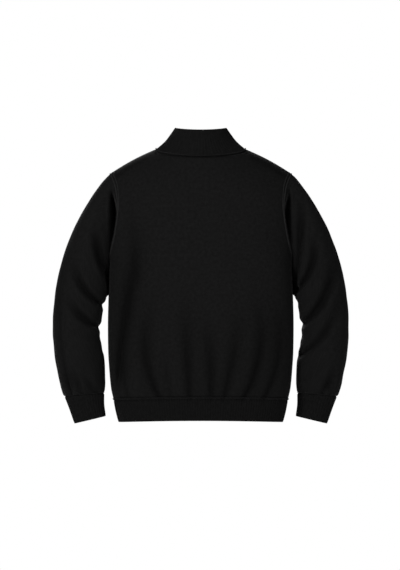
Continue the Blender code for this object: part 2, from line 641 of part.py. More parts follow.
def build_cloth(jersey, rib):
    """Makes the body, sleeves and collar, and returns the inner columns nearest the zip on each side."""
    outward = np.array([0, 1, 0])
    halves = {}
    for side in (1, -1):
        halves[1, side] = panel(1, side, 0.0)
        halves[-1, side] = panel(-1, side, ZIP_EDGE)
    whole_back = np.concatenate([halves[1, 1][:, ::-1], halves[1, -1][:, 1:]], axis=1)
    back = Cloth(whole_back, outward=outward)
    fronts = {side: Cloth(halves[-1, side], outward=-outward) for side in (1, -1)}
    sleeves = {}
    for side in (1, -1):
        grid = sleeve(side, armhole_loop(side, halves[1, side], halves[-1, side]))
        middle = grid.mean(axis=1, keepdims=True)
        sleeves[side] = Cloth(grid, closed=True, outward=grid - middle)

    left_neck = fronts[1].grid[-1, : NECK_STEPS + 1]
    right_neck = fronts[-1].grid[-1, : NECK_STEPS + 1][::-1]
    neck_end = SIDE_STEPS + 2 * NECK_STEPS
    back_neck = back.grid[-1, SIDE_STEPS : neck_end + 1]
    neck = np.concatenate([left_neck, back_neck[1:-1], right_neck])
    steps = RIBS_PER_NECK_STEP * 2
    grid = collar_grid(neck, steps)
    collar = Cloth(grid, outward=(grid - grid.mean(axis=(0, 1))) * np.array([1, 1, 0]))

    armholes = []
    for side, piece in sleeves.items():
        corners = piece.grid[0, ::2]
        armholes.append((corners, armhole_normals(corners, side)))
    weld_normals([back, *fronts.values(), *sleeves.values(), collar], armholes, neck)
    for piece in sleeves.values():
        turned = piece.normal[0]
        turned[1::2] = unit(turned[0::2] + np.roll(turned[0::2], -1, 0))
    turned = collar.normal[0]
    for i in range(0, len(turned) - 1, steps):
        for j in range(1, steps):
            turned[i + j] = unit(turned[i] * (1 - j / steps) + turned[i + steps] * j / steps)
    for piece in (back, *fronts.values()):
        piece.normal[0] = unit(piece.normal[0] * np.array([1, 1, 0]))
    for side, piece in sleeves.items():
        axis = section_axis(SLEEVE[-1], side)
        piece.normal[-1] = unit(piece.normal[-1] - np.outer(piece.normal[-1] @ axis, axis))

    armpit = len(LOWER_DROPS)
    back.draw_back(np.s_[armpit:, 0], np.s_[armpit:, 1])
    back.draw_back(np.s_[armpit:, -1], np.s_[armpit:, -2])
    back.draw_back(np.s_[-1, SIDE_STEPS : neck_end + 1], np.s_[-2, SIDE_STEPS : neck_end + 1])
    side_seams = [np.s_[: armpit + 1, 0], np.s_[: armpit + 1, -1]]
    shoulder_seams = [np.s_[-1, : SIDE_STEPS + 1], np.s_[-1, neck_end:]]
    for seam in side_seams + shoulder_seams:
        back.part_sides(seam, 1)
    for side, piece in fronts.items():
        piece.draw_back(np.s_[armpit:, -1], np.s_[armpit:, -2])
        piece.draw_back(np.s_[-1, : NECK_STEPS + 1], np.s_[-2, : NECK_STEPS + 1])
        for seam in (np.s_[: armpit + 1, -1], np.s_[-1, NECK_STEPS:]):
            piece.part_sides(seam, -1)
        piece.grid[:, 0, 0] = side * ZIP_EDGE
    for piece in sleeves.values():
        piece.draw_back(np.s_[0, :], np.s_[1, :], SEAM)
    collar.draw_back(np.s_[0, :], np.s_[1, :])
    collar.grid[0, 0, 0], collar.grid[0, -1, 0] = ZIP_EDGE, -ZIP_EDGE

    shell("back", back.grid, back.inner(), jersey)
    inner_fronts = {}
    for side, piece in fronts.items():
        inner = piece.inner()
        inner[:, 0, 0] = side * ZIP_EDGE
        inner_fronts[side] = inner
        shell(f"front_{name_of(side)}", piece.grid, inner, jersey)
    for side, piece in sleeves.items():
        shell(f"sleeve_{name_of(side)}", piece.grid, piece.inner(), jersey, closed=True)
    inner = collar.inner()[:, ::steps]
    inner[:, 0, 0], inner[:, -1, 0] = ZIP_EDGE, -ZIP_EDGE
    outer = raised(collar.grid, collar.normal, range(1, len(COLLAR)))
    outer[:, 0, 0], outer[:, -1, 0] = ZIP_EDGE, -ZIP_EDGE
    shell("collar", outer, inner, rib)
    for side in (1, -1):
        build_cuff(side, rib)
    hem = build_hem(rib)
    pairs = {}
    for side in (1, -1):
        columns = (0, 1) if side > 0 else (-1, -2)
        pairs[side] = [(hem[0, columns[0]], hem[0, columns[1]])]
        pairs[side] += [(row[0], row[1]) for row in inner_fronts[side]]
        pairs[side] += [(inner[r, columns[0]], inner[r, columns[1]]) for r in range(1, len(COLLAR))]
    return pairs


def build_tapes(pairs, finish):
    """The tapes lie flat behind the first facets of the cloth on each side.

    Returns the line midway between their inner edges, from the hem up.
    """
    spine = {}
    for side, rows in pairs.items():
        near = np.array([row[0] for row in rows])
        far = np.array([row[1] for row in rows])
        slope = (far - near) / np.abs(far[:, :1] - near[:, :1])
        run = np.gradient(near, axis=0)
        behind = unit(np.cross(run, slope))
        behind *= np.where(behind[:, 1] < 0, -1, 1)[:, None]
        lines = [near + slope * (at - ZIP_EDGE) for at in (CHAIN_HALF + SEAM, TAPE_OUTER)]
        front = np.stack([line + behind * TAPE_BEHIND for line in lines], axis=1)
        front[0, :, 2] += TAPE_ABOVE_HEM
        front[-1, :, 2] -= TAPE_BELOW_RIM
        rear = front + behind[:, None] * TAPE_THICK
        shell(f"zip_tape_{name_of(side)}", front, rear, finish)
        spine[side] = (front[:, 0] + rear[:, 0]) / 2
    middle = (spine[1] + spine[-1]) / 2
    middle[:, 0] = 0
    return middle


def along_spine(spine, distance):
    """(point, upward direction) at a distance along the spine, measured from its top end."""
    line = spine[::-1]
    length = np.concatenate([[0], np.cumsum(np.linalg.norm(np.diff(line, axis=0), axis=1))])
    point = np.array([np.interp(distance, length, line[:, i]) for i in range(3)])
    i = min(int(np.searchsorted(length, distance, side="right")) - 1, len(line) - 2)
    return point, unit(line[i] - line[i + 1])


def build_chain(spine, metal):
    """A plain strip through the closed teeth, from the box to the slider."""
    length = np.sum(np.linalg.norm(np.diff(spine, axis=0), axis=1))
    top, _ = along_spine(spine, SLIDER_BELOW_RIM)
    bottom, _ = along_spine(spine, length - BOX_UP - BOX_SIZE[2] / 2 - SEAM)
    least = 0.004
    between = [p for p in spine if bottom[2] + least < p[2] < top[2] - least]
    line = np.array([bottom, *between, top])
    up = unit(np.gradient(line, axis=0))
    out = np.stack([np.zeros(len(up)), -up[:, 2], up[:, 1]], axis=1)
    across = np.array([CHAIN_HALF, 0, 0])
    front = np.stack([line - across + out * CHAIN_THICK / 2, line + across + out * CHAIN_THICK / 2], axis=1)
    rear = np.stack([line - across - out * CHAIN_THICK / 2, line + across - out * CHAIN_THICK / 2], axis=1)
    shell("zip_chain", front, rear, metal)


def build_fittings(spine, metal):
    """The box at the zip's lower end, and a stop on each tape above the slider."""
    length = np.sum(np.linalg.norm(np.diff(spine, axis=0), axis=1))
    point, up = along_spine(spine, length - BOX_UP)
    add_mesh("zip_box", *box(point, BOX_SIZE, up), metal)
    for side in (1, -1):
        point, up = along_spine(spine, STOP_DOWN)
        block = box(point + np.array([side * STOP_SIDE, 0, 0]), STOP_SIZE, up)
        add_mesh(f"zip_stop_{name_of(side)}", *block, metal)


def joined(name, parts, finish):
    """Blocks joined into one body by Boolean unions."""
    first = add_mesh(name, *parts[0], finish)
    for i, (corners, faces) in enumerate(parts[1:]):
        helper = add_mesh(f"{name}_part_{i}", corners, faces, finish)
        helper.hide_render = True
        helper.display_type = "WIRE"
        union = first.modifiers.new(f"join_{i}", "BOOLEAN")
        union.operation = "UNION"
        union.object = helper


def build_slider(spine, metal):
    """Front and rear plates held by a post, and the bridge that the pull tab's eye hangs on.

    Returns the middle of the pull tab's bar.
    """
    point, up = along_spine(spine, SLIDER_BELOW_RIM)
    out = np.array([0.0, -up[2], up[1]])
    clear = CHAIN_THICK / 2 + SEAM
    plate = PLATE_SIZE[1]

    def at(outwards, upwards):
        return point + outwards * out + upwards * up

    front_plate = box(at(clear + plate / 2, BRIDGE_UP), PLATE_SIZE, up)
    rear_plate = box(at(-clear - plate / 2, BRIDGE_UP), PLATE_SIZE, up)
    post = box(at(0, POST_UP), (POST_SIZE[0], 2 * clear + plate, POST_SIZE[1]), up)
    face = clear + plate
    foot = BRIDGE_HALF - BRIDGE_THICK / 2
    sunk = plate / 3
    leg_size = (BRIDGE_WIDE, BRIDGE_REACH + sunk, BRIDGE_THICK)
    legs = [box(at(face + (BRIDGE_REACH - sunk) / 2, BRIDGE_UP + s * foot), leg_size, up) for s in (1, -1)]
    beam_size = (BRIDGE_WIDE, BRIDGE_THICK, 2 * BRIDGE_HALF)
    beam = box(at(face + BRIDGE_REACH - BRIDGE_THICK / 2, BRIDGE_UP), beam_size, up)
    joined("zip_slider", [front_plate, rear_plate, post, *legs, beam], metal)
    return at(face + PIVOT_OUT, BRIDGE_UP)


def build_pull(pivot, metal):
    """The pull tab hangs straight down from its bar, which lies under the bridge."""
    half = EYE_HALF + EYE_WALL
    outline = [(-half, BAR_HALF), (half, BAR_HALF), (half, -PULL_LENGTH), (-half, -PULL_LENGTH)]
    hole = [(-EYE_HALF, -BAR_HALF), (EYE_HALF, -BAR_HALF), (EYE_HALF, -EYE_DEPTH), (-EYE_HALF, -EYE_DEPTH)]
    points = []
    for y in (-BAR_HALF, BAR_HALF):
        points += [(x, y, z) for x, z in outline + hole]
    faces = []
    for i in range(4):
        j = (i + 1) % 4
        faces.append((i, j, 4 + j, 4 + i))
        faces.append((8 + i, 12 + i, 12 + j, 8 + j))
        faces.append((i, 8 + i, 8 + j, j))
        faces.append((4 + i, 4 + j, 12 + j, 12 + i))
    arrays = [np.array(p) for p in points]
    if volume(arrays, faces) < 0:
        faces = [face[::-1] for face in faces]
    add_mesh("zip_pull", points, faces, metal).location = pivot


def main():
    clear_scene()
    jersey = material("black jersey", BLACK_JERSEY, 0.9, 0.0)
    rib = material("black rib", BLACK_RIB, 0.9, 0.0)
    tape = material("black zip tape", BLACK_TAPE, 0.8, 0.0)
    metal = material("black metal", BLACK_METAL, 0.4, 0.8)
    pairs = build_cloth(jersey, rib)
    spine = build_tapes(pairs, tape)
    build_chain(spine, metal)
    build_fittings(spine, metal)
    pivot = build_slider(spine, metal)
    build_pull(pivot, metal)


main()
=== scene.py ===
"""A zip-up cardigan in fine black knit, seen from the back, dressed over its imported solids."""

import math

import bmesh
import bpy
import numpy as np
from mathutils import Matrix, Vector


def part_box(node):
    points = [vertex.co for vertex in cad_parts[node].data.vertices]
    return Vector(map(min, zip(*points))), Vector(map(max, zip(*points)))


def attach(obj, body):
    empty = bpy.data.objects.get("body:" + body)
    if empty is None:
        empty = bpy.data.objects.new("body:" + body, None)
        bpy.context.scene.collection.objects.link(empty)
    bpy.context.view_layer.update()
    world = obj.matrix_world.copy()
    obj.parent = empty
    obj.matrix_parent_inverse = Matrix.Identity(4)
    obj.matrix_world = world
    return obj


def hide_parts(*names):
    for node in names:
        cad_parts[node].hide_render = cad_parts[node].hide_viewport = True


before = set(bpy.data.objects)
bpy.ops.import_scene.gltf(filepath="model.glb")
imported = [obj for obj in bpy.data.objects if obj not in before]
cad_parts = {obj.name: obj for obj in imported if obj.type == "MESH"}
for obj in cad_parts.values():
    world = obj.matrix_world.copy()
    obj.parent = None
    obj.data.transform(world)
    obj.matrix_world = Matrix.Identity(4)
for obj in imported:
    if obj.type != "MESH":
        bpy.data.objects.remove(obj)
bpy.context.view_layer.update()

# ------------------------------------------------------------
# The studio: a long lens square to the back, a soft light high on the picture's left, a weaker one on
# its right, a broad one for the garment's front, a pale floor below the cuffs and white paper all round.
# ------------------------------------------------------------
LENS_AWAY = 20.0
FRAME_HEIGHT = 1.425  # metres of the picture's height at the garment
LENS_X, LENS_Z = 0.0019, -0.3375


def add_object(name, data):
    """An object in the scene, made of a mesh, a light or a camera."""
    made = bpy.data.objects.new(name, data)
    bpy.context.scene.collection.objects.link(made)
    return made


lens = bpy.data.cameras.new("lens")
lens.sensor_width = 36
lens.lens = 36 * LENS_AWAY / FRAME_HEIGHT
lens.clip_end = 200
camera = add_object("camera", lens)
camera.location = (LENS_X, LENS_AWAY, LENS_Z)
camera.rotation_euler = (math.radians(90), 0, math.radians(180))
bpy.context.scene.camera = camera
bpy.context.scene.view_settings.view_transform = "Standard"


def soft_light(name, place, aim, size, power):
    """A square soft box that faces a point."""
    light = bpy.data.lights.new(name, "AREA")
    light.size, light.energy = size, power
    box = add_object(name, light)
    away = np.array(place) - np.array(aim)
    box.location = place
    turn = math.atan2(away[0], -away[1])
    box.rotation_euler = (math.acos(away[2] / np.linalg.norm(away)), 0, turn)


soft_light("key", (2.1, 3.2, 1.3), (0, 0, -0.3), 1.0, 74)
soft_light("fill", (-1.7, 3.5, 0.5), (0, 0, -0.35), 1.0, 31)
soft_light("front_light", (0.8, -3.2, 1.2), (0, 0, -0.3), 2.2, 110)

SKY_LIGHT, SKY_SEEN = 0.11, 1.0  # the paper gives less light than it shows

paper = bpy.data.worlds.new("white paper")
paper.use_nodes = True
bpy.context.scene.world = paper
tree = paper.node_tree
sky, seen = tree.nodes["Background"], tree.nodes.new("ShaderNodeBackground")
for shader, strength in ((sky, SKY_LIGHT), (seen, SKY_SEEN)):
    shader.inputs["Color"].default_value = (1, 1, 1, 1)
    shader.inputs["Strength"].default_value = strength
ray = tree.nodes.new("ShaderNodeLightPath")
pick = tree.nodes.new("ShaderNodeMixShader")
tree.links.new(ray.outputs["Is Camera Ray"], pick.inputs["Fac"])
tree.links.new(sky.outputs[0], pick.inputs[1])
tree.links.new(seen.outputs[0], pick.inputs[2])
tree.links.new(pick.outputs[0], tree.nodes["World Output"].inputs["Surface"])

FLOOR_Z, FLOOR_HALF = -1.30, 2.5
floor_mesh = bpy.data.meshes.new("floor")
corners = [(x * FLOOR_HALF, y * FLOOR_HALF, FLOOR_Z) for x, y in ((-1, -1), (1, -1), (1, 1), (-1, 1))]
floor_mesh.from_pydata(corners, [], [(0, 1, 2, 3)])
floor = add_object("floor", floor_mesh)
pale = bpy.data.materials.new("pale floor")
pale.use_nodes = True
pale_shader = pale.node_tree.nodes["Principled BSDF"]
pale_shader.inputs["Base Color"].default_value = (0.8, 0.8, 0.8, 1)
pale_shader.inputs["Roughness"].default_value = 0.9
floor_mesh.materials.append(pale)


# ------------------------------------------------------------
# Back panel: one piece of plain fine-gauge jersey, knitted to shape, from the hem seam to the
# shoulder seams. The hem band draws it in, so soft troughs rise from the band and bow outwards.
# ------------------------------------------------------------
WALL = 0.0022
GROOVE, HELD = 0.0018, 0.75  # a linked seam sinks this far, and keeps this share of a trough
INWARD = (0.3, 1.0, 0.3)  # troughs sink mostly straight in, so that none overhangs
DEEP = 0.0085  # a trough this deep gets its full painted shade
TROUGH_PAINTED_SHADE, SEAM_PAINTED_SHADE, NECK_PAINTED_SHADE = 0.42, 0.42, 0.5  # painted shade: how much darker the colour is drawn in troughs, under the shoulder seam, and along the neck and hem seams
TROUGH_BEGINS, TROUGH_ENDS = (-0.35, -0.1), (0.35, 1.3)  # where it fades in and out along its own line
TROUGH_TIGHT, TROUGH_WIDENS = 0.88, 0.7  # shares of its width: at its start, and added by its end
KEEN, KEEN_GROWS = 0.0026, 0.010  # half the width of its bottom, narrow at its start
LIP_AT, LIP_WIDE = 2.1, 0.9  # where the cloth stands proud beside it, in its own widths
DRIFT_WAVES, DRIFT_LONG, DRIFT_STEEP = 14, (0.025, 0.11), 0.0018
TOP_FROM = 0.55  # above this share of its height a panel's columns turn towards the shoulder
SIDE_CALM, TOP_CALM, GATHER_RISE = (0.93, 1.0), (0.80, 0.95), 0.030  # where troughs stop short of an edge
HEM_GROOVE_TALL, HEM_SEAM_PAINTED_SHADE_TALL, NECK_GROOVE, NECK_GROOVE_TALL = 0.0020, 0.0017, 0.0030, 0.0030
UNDER_SHOULDER, UNDER_SHOULDER_AT, UNDER_SHOULDER_TALL = 0.0012, 0.0125, 0.0060  # a shallow recess
NECK_HALF, SHOULDER_HALF, SHOULDER_DROP, ARMHOLE_DEPTH = 0.115, 0.2265, 0.060, 0.225
BACK_NECK_DROP, FRONT_NECK_DROP, SHOULDER_ARCH = 0.0175, 0.060, 0.0036
HEM_SEAM_Z, HEM_SEAM_SAG, ROUNDING, SQUARENESS = -0.6165, 0.0045, 0.120, 2.4
FINER = 9  # rows and columns of cloth to one of the plain solid
ARMHOLE_ROWS, NECK_COLUMNS, SIDE_COLUMNS = 8 * FINER, 6 * FINER, 10 * FINER

# z, half width, depth at the back and at the front
BODY_LEVELS = [
    (-0.6210, 0.2178, 0.0965, 0.1020),
    (-0.5950, 0.2235, 0.1010, 0.1075),
    (-0.5500, 0.2278, 0.1040, 0.1120),
    (-0.5000, 0.2308, 0.1040, 0.1135),
    (-0.4400, 0.2315, 0.1015, 0.1130),
    (-0.3600, 0.2298, 0.1000, 0.1140),
    (-0.2850, 0.2280, 0.1025, 0.1150),
    (-0.2600, 0.2297, 0.1035, 0.1145),
    (-0.2000, 0.2350, 0.1035, 0.1110),
    (-0.1200, 0.2410, 0.1000, 0.0980),
    (-0.0600, 0.2450, 0.0920, 0.0800),
    (0.0600, 0.2500, 0.0700, 0.0560),
]
# drop from the shoulder point, armhole edge's distance from the middle at the back and at the front
ARMHOLE = [
    (0.0000, 0.2265, 0.2265),
    (0.0150, 0.2190, 0.2175),
    (0.0400, 0.2115, 0.2085),
    (0.0900, 0.2065, 0.2020),
    (0.1400, 0.2125, 0.2075),
    (0.1775, 0.2200, 0.2170),
    (0.2050, 0.2265, 0.2250),
    (0.2250, 0.2280, 0.2280),
]
# drops of the rows below the armhole
LOWER_DROPS = [0.280, 0.335, 0.390, 0.435, 0.475, 0.508, 0.535, 0.553, 0.561]
# A trough: start x and z, end x and z, bow, width, depth
BACK_FOLDS = [
    (0.1035, -0.620, 0.1235, -0.385, 0.0250, 0.0092, 0.0105),
    (0.0735, -0.620, 0.0880, -0.490, 0.0030, 0.0072, 0.0040),
    (0.0265, -0.620, 0.0360, -0.390, 0.0010, 0.0092, 0.0095),
    (-0.0265, -0.620, -0.0180, -0.430, -0.0040, 0.0084, 0.0092),
    (-0.0600, -0.620, -0.0985, -0.415, -0.0040, 0.0095, 0.0088),
    (-0.1090, -0.620, -0.1465, -0.385, -0.0230, 0.0095, 0.0105),
    (-0.1615, -0.620, -0.1930, -0.395, -0.0220, 0.0100, 0.0080),
    (0.2055, -0.520, 0.1570, -0.235, 0.0030, 0.0120, 0.0150),
    (0.1850, -0.620, 0.2030, -0.470, 0.0020, 0.0085, 0.0050),
    (0.1640, -0.290, 0.1790, -0.110, 0.0020, 0.0100, 0.0035),
    (0.1330, -0.620, 0.1500, -0.560, 0.0040, 0.0060, 0.0022),
    (0.0040, -0.620, 0.0060, -0.560, 0.0000, 0.0050, 0.0018),
    (-0.0420, -0.620, -0.0450, -0.570, 0.0000, 0.0045, 0.0016),
    (-0.1330, -0.620, -0.1480, -0.555, -0.0030, 0.0060, 0.0020),
]


def smooth_curve(table, column, key=0):
    """A smooth line through a table's column that never swings past its values."""
    rows = sorted(table, key=lambda row: row[key])
    keys, values = np.array([row[key] for row in rows]), np.array([row[column] for row in rows])
    step = np.diff(keys)
    slope = np.diff(values) / step
    tangent = np.concatenate([slope[:1], np.zeros(len(slope) - 1), slope[-1:]])
    for i in range(1, len(slope)):
        if slope[i - 1] * slope[i] > 0:
            tangent[i] = 2 * slope[i - 1] * slope[i] / (slope[i - 1] + slope[i])

    def at(x):
        x = np.clip(x, keys[0], keys[-1])
        i = np.clip(np.searchsorted(keys, x) - 1, 0, len(step) - 1)
        t = (x - keys[i]) / step[i]
        ahead = values[i + 1] * t * t * (3 - 2 * t) + tangent[i + 1] * step[i] * t * t * (t - 1)
        return values[i] * (1 + 2 * t) * (1 - t) ** 2 + tangent[i] * step[i] * t * (1 - t) ** 2 + ahead

    return at


def ease(low, high, x):
    """Rises smoothly from 0 at `low` to 1 at `high`."""
    t = np.clip((x - low) / (high - low), 0, 1)
    return t * t * (3 - 2 * t)


def fade(low, high, x):
    """Falls smoothly from 1 at `low` to 0 at `high`."""
    return 1 - ease(low, high, x)


def bell(x, width):
    """A soft hump that is 1 in the middle and has faded to about a third at `width`."""
    return np.exp(-((x / width) ** 2))


def unit(vectors):
    return vectors / np.maximum(np.linalg.norm(vectors, axis=-1, keepdims=True), 1e-12)


half_at, back_at, front_at = (smooth_curve(BODY_LEVELS, column) for column in (1, 2, 3))
armhole_x = {1: smooth_curve(ARMHOLE, 1), -1: smooth_curve(ARMHOLE, 2)}


def shoulder_line(x):
    t = (np.abs(x) - NECK_HALF) / (SHOULDER_HALF - NECK_HALF)
    return SHOULDER_ARCH * np.sin(math.pi * np.clip(t, 0, 1)) - SHOULDER_DROP * t


def hem_seam(x):
    return HEM_SEAM_Z - HEM_SEAM_SAG * (x / BODY_LEVELS[0][1]) ** 2


def body_depth(x, z, face):
    """How far the surface lies from the side seams' plane, at the back (face 1) or the front (-1)."""
    share = np.clip(np.abs(x) / half_at(z), 0, 1)
    full = (back_at(z) if face > 0 else front_at(z)) * (1 - share**SQUARENESS) ** (1 / SQUARENESS)
    below = np.clip((shoulder_line(x) - z) / ROUNDING, 0, 1)
    return face * full * np.sqrt(1 - (1 - below) ** 2)


def trough_depth(x, z, folds, lip=0.0):
    """The depth of all troughs at a place. Each is deep at its start and fades towards its end, and the
    cloth it has drawn in may stand a little proud beside it."""
    total = np.zeros(np.shape(x))
    for start_x, start_z, end_x, end_z, bow, width, depth in folds:
        run_x, run_z = end_x - start_x, end_z - start_z
        length = math.hypot(run_x, run_z)
        along = ((x - start_x) * run_x + (z - start_z) * run_z) / length**2
        across = ((x - start_x) * run_z - (z - start_z) * run_x) / length - bow * 4 * along * (1 - along)
        reach = ease(*TROUGH_BEGINS, along) * fade(*TROUGH_ENDS, along)
        soft = width * TROUGH_TIGHT * (1 + TROUGH_WIDENS * np.clip(along, 0, 1))
        keen = KEEN + KEEN_GROWS * np.clip(along, 0, 1)
        beside = lip * bell(np.abs(across) - LIP_AT * soft, LIP_WIDE * soft)
        total += depth * (np.exp((keen - np.sqrt(across**2 + keen**2)) / soft) - beside) * reach
    return total


def drift(x, z, seed):
    """The slow unevenness of knitted cloth, a few tenths of a millimetre."""
    rng = np.random.default_rng(seed)
    total = np.zeros(np.shape(x))
    for _ in range(DRIFT_WAVES):
        turn, wave, phase = rng.uniform(0, math.pi), rng.uniform(*DRIFT_LONG), rng.uniform(0, 2 * math.pi)
        total += wave * np.sin(2 * math.pi * (x * math.cos(turn) + z * math.sin(turn)) / wave + phase)
    return total * DRIFT_STEEP


def grid_normals(grid, outward, closed=False):
    """The unit normal at each point of a grid of rows and columns, turned to the outward side."""
    along = np.roll(grid, -1, 1) - np.roll(grid, 1, 1) if closed else np.gradient(grid, axis=1)
    normal = unit(np.cross(along, np.gradient(grid, axis=0)))
    return -normal if np.sum(normal * outward) < 0 else normal


def quarter_sine(count):
    """Shares from 0 to 1 that crowd towards 1."""
    return np.sin(np.pi / 2 * np.arange(count + 1) / count)


def panel_columns(start):
    """Where a half panel's columns stand, as shares of its width: along its top, and lower down."""
    neck_share = (NECK_HALF - start) / (SHOULDER_HALF - start)
    neck, shoulder = neck_share * quarter_sine(NECK_COLUMNS)[:-1], quarter_sine(SIDE_COLUMNS)
    top = np.concatenate([neck, neck_share + (1 - neck_share) * shoulder])
    return top, quarter_sine(NECK_COLUMNS + SIDE_COLUMNS) ** (2 / SQUARENESS)


def panel_drops():
    """How far each row's end lies below the shoulder point, from the hem seam up."""
    armhole = ARMHOLE_DEPTH / 2 * (1 - np.cos(np.pi * np.arange(ARMHOLE_ROWS + 1) / ARMHOLE_ROWS))
    lower = [ARMHOLE_DEPTH] + LOWER_DROPS
    below = np.interp(np.arange(1, len(LOWER_DROPS) * FINER + 1) / FINER, range(len(lower)), lower)
    return np.concatenate([armhole, below])[::-1]


def half_panel(face, side, start, folds):
    """Half a body panel: rows from the hem seam up, columns from `start` out to the side and armhole."""
    top, low = panel_columns(start)
    drops = panel_drops()
    rise = 1 - drops / drops[0]
    edge_x = np.where(drops <= ARMHOLE_DEPTH, armhole_x[face](drops), half_at(-SHOULDER_DROP - drops))
    mix = ease(TOP_FROM, 1.0, rise)[:, None]
    x = start + (edge_x[:, None] - start) * (low * (1 - mix) + top * mix)
    top_x = start + (SHOULDER_HALF - start) * top
    neck_drop = BACK_NECK_DROP if face > 0 else FRONT_NECK_DROP
    neckline = -neck_drop * np.sqrt(np.clip(1 - (top_x / NECK_HALF) ** 2, 0, 1))
    top_z = np.where(top_x < NECK_HALF - 1e-9, neckline, shoulder_line(top_x))
    bottom = hem_seam(x)
    z = bottom + (top_z[None, :] - bottom) * rise[:, None]
    y = body_depth(x, z, face)
    y[-1, NECK_COLUMNS:] = 0.0
    y[drops >= ARMHOLE_DEPTH - 1e-9, -1] = 0.0
    grid = np.stack([side * x, y, z], axis=2)

    # How deep each place lies: troughs, the grooves along the hem and neck seams, unevenness, and the
    # recess under the shoulder seam
    upper, below_top = (rise > 0.5)[:, None], top_z[None, :] - z
    at_sides = fade(*SIDE_CALM, low)[None, :]
    troughs = trough_depth(side * x, z, folds) * (at_sides * fade(*TOP_CALM, rise)[:, None])
    depth = troughs * (HELD + (1 - HELD) * ease(0.0, GATHER_RISE, rise)[:, None])
    depth += 0.8 * GROOVE * bell(z - bottom, HEM_GROOVE_TALL) * at_sides
    neck_groove = bell(below_top, NECK_GROOVE_TALL) * (fade(0.9, 1.0, top_x / NECK_HALF)[None, :] * upper)
    depth += NECK_GROOVE * neck_groove
    calm = fade(0.90, 1.0, low)[None, :] * (fade(0.93, 1.0, rise) * ease(0, 0.03, rise))[:, None]
    depth -= drift(side * x + 0.7 * face, z, 5) * calm
    under = bell(below_top - UNDER_SHOULDER_AT, UNDER_SHOULDER_TALL) * upper
    under = under * ease(NECK_HALF, NECK_HALF + 0.02, x)
    depth += UNDER_SHOULDER * under * fade(0.200, 0.224, x)

    # Painted shade: the colour is drawn darker in the troughs, in the recess under the shoulder seam, and along
    # the neck and hem seams.
    painted_shade_share = 1 - TROUGH_PAINTED_SHADE * np.clip(troughs / DEEP, 0, 1.45)
    painted_shade_share *= 1 - SEAM_PAINTED_SHADE * under * fade(0.205, SHOULDER_HALF, x)
    painted_shade_share *= 1 - NECK_PAINTED_SHADE * neck_groove
    painted_shade_share *= 1 - SEAM_PAINTED_SHADE * bell(z - bottom, HEM_SEAM_PAINTED_SHADE_TALL)
    return grid - unit(grid_normals(grid, (0, face, 0)) * INWARD) * depth[..., None], painted_shade_share


class Value:
    """A number or colour in a material. Arithmetic on numbers adds the Math nodes that work it out."""

    def __init__(self, finish, socket):
        self.finish, self.socket = finish, socket

    def math(self, operation, *others, clamp=False):
        settings = {"operation": operation, "use_clamp": clamp}
        return self.finish.node("ShaderNodeMath", settings, dict(enumerate((self, *others))))

    def __add__(self, other):
        return self.math("ADD", other)

    def __sub__(self, other):
        return self.math("SUBTRACT", other)

    def __rsub__(self, other):
        return self.finish.node("ShaderNodeMath", {"operation": "SUBTRACT"}, {0: other, 1: self})

    def __mul__(self, other):
        return self.math("MULTIPLY", other)

    def __truediv__(self, other):
        return self.math("DIVIDE", other)


class Finish:
    """A material for one kind of surface, built from nodes round one Principled shader."""

    def __init__(self, name, **sockets):
        self.material = bpy.data.materials.new(name)
        self.material.use_nodes = True
        self.nodes, self.links = self.material.node_tree.nodes, self.material.node_tree.links
        self.shader = self.nodes["Principled BSDF"]
        for socket, value in sockets.items():
            self.shader.inputs[socket.replace("_", " ")].default_value = value

    def node(self, kind, settings=None, sockets=None, output=0):
        """A new node with its settings and sockets, as the Value of one of its outputs."""
        made = self.nodes.new(kind)
        for name, value in (settings or {}).items():
            setattr(made, name, value)
        for name, value in (sockets or {}).items():
            if isinstance(value, Value):
                self.links.new(value.socket, made.inputs[name])
            else:
                made.inputs[name].default_value = value
        return Value(self, made.outputs[output])

    def noise(self, scale, detail, place, **sockets):
        """Noise over a 3-D place."""
        sockets = {"Scale": scale, "Detail": detail, "Vector": place, **sockets}
        return self.node("ShaderNodeTexNoise", sockets=sockets)

    def relief(self, strength, distance, height):
        """Bumps the surface, which adds no geometry."""
        sockets = {"Strength": strength, "Distance": distance, "Height": height}
        self.feed("Normal", self.node("ShaderNodeBump", sockets=sockets))

    def feed(self, socket, value):
        self.links.new(value.socket, self.shader.inputs[socket])

    def split(self, vector):
        parts = self.node("ShaderNodeSeparateXYZ", sockets={0: vector})
        return [Value(self, out) for out in parts.socket.node.outputs]

    def mixed(self, share, dark, light):
        """A colour between two, each an RGB colour or a Value. A number is the share of the second."""
        dark, light = ((*c, 1) if isinstance(c, tuple) else c for c in (dark, light))
        sockets = {"Factor": share, "A": dark, "B": light}
        mix = self.nodes.new("ShaderNodeMix")
        mix.data_type = "RGBA"
        for socket in mix.inputs:
            if socket.name in sockets and socket.enabled:
                value = sockets[socket.name]
                if isinstance(value, Value):
                    self.links.new(value.socket, socket)
                else:
                    socket.default_value = value
        return Value(self, next(out for out in mix.outputs if out.enabled))


WALE, COURSE = 0.0019, 0.0014  # width and height of one knit stitch
LEG_SLANT, CHANNEL_FROM, CHANNEL_DEEP, SPINE_TO, SPINE_DEEP = 1.15, 0.38, 6.0, 0.14, 3.0
CLOUD_TONE, FUZZ_TONE, STITCH_PAINTED_SHADE = 1.5, 1.1, 0.22  # how much each unevens the colour; the stitches' part is painted shade, darker where their relief is low
FUZZ_RELIEF = 0.9


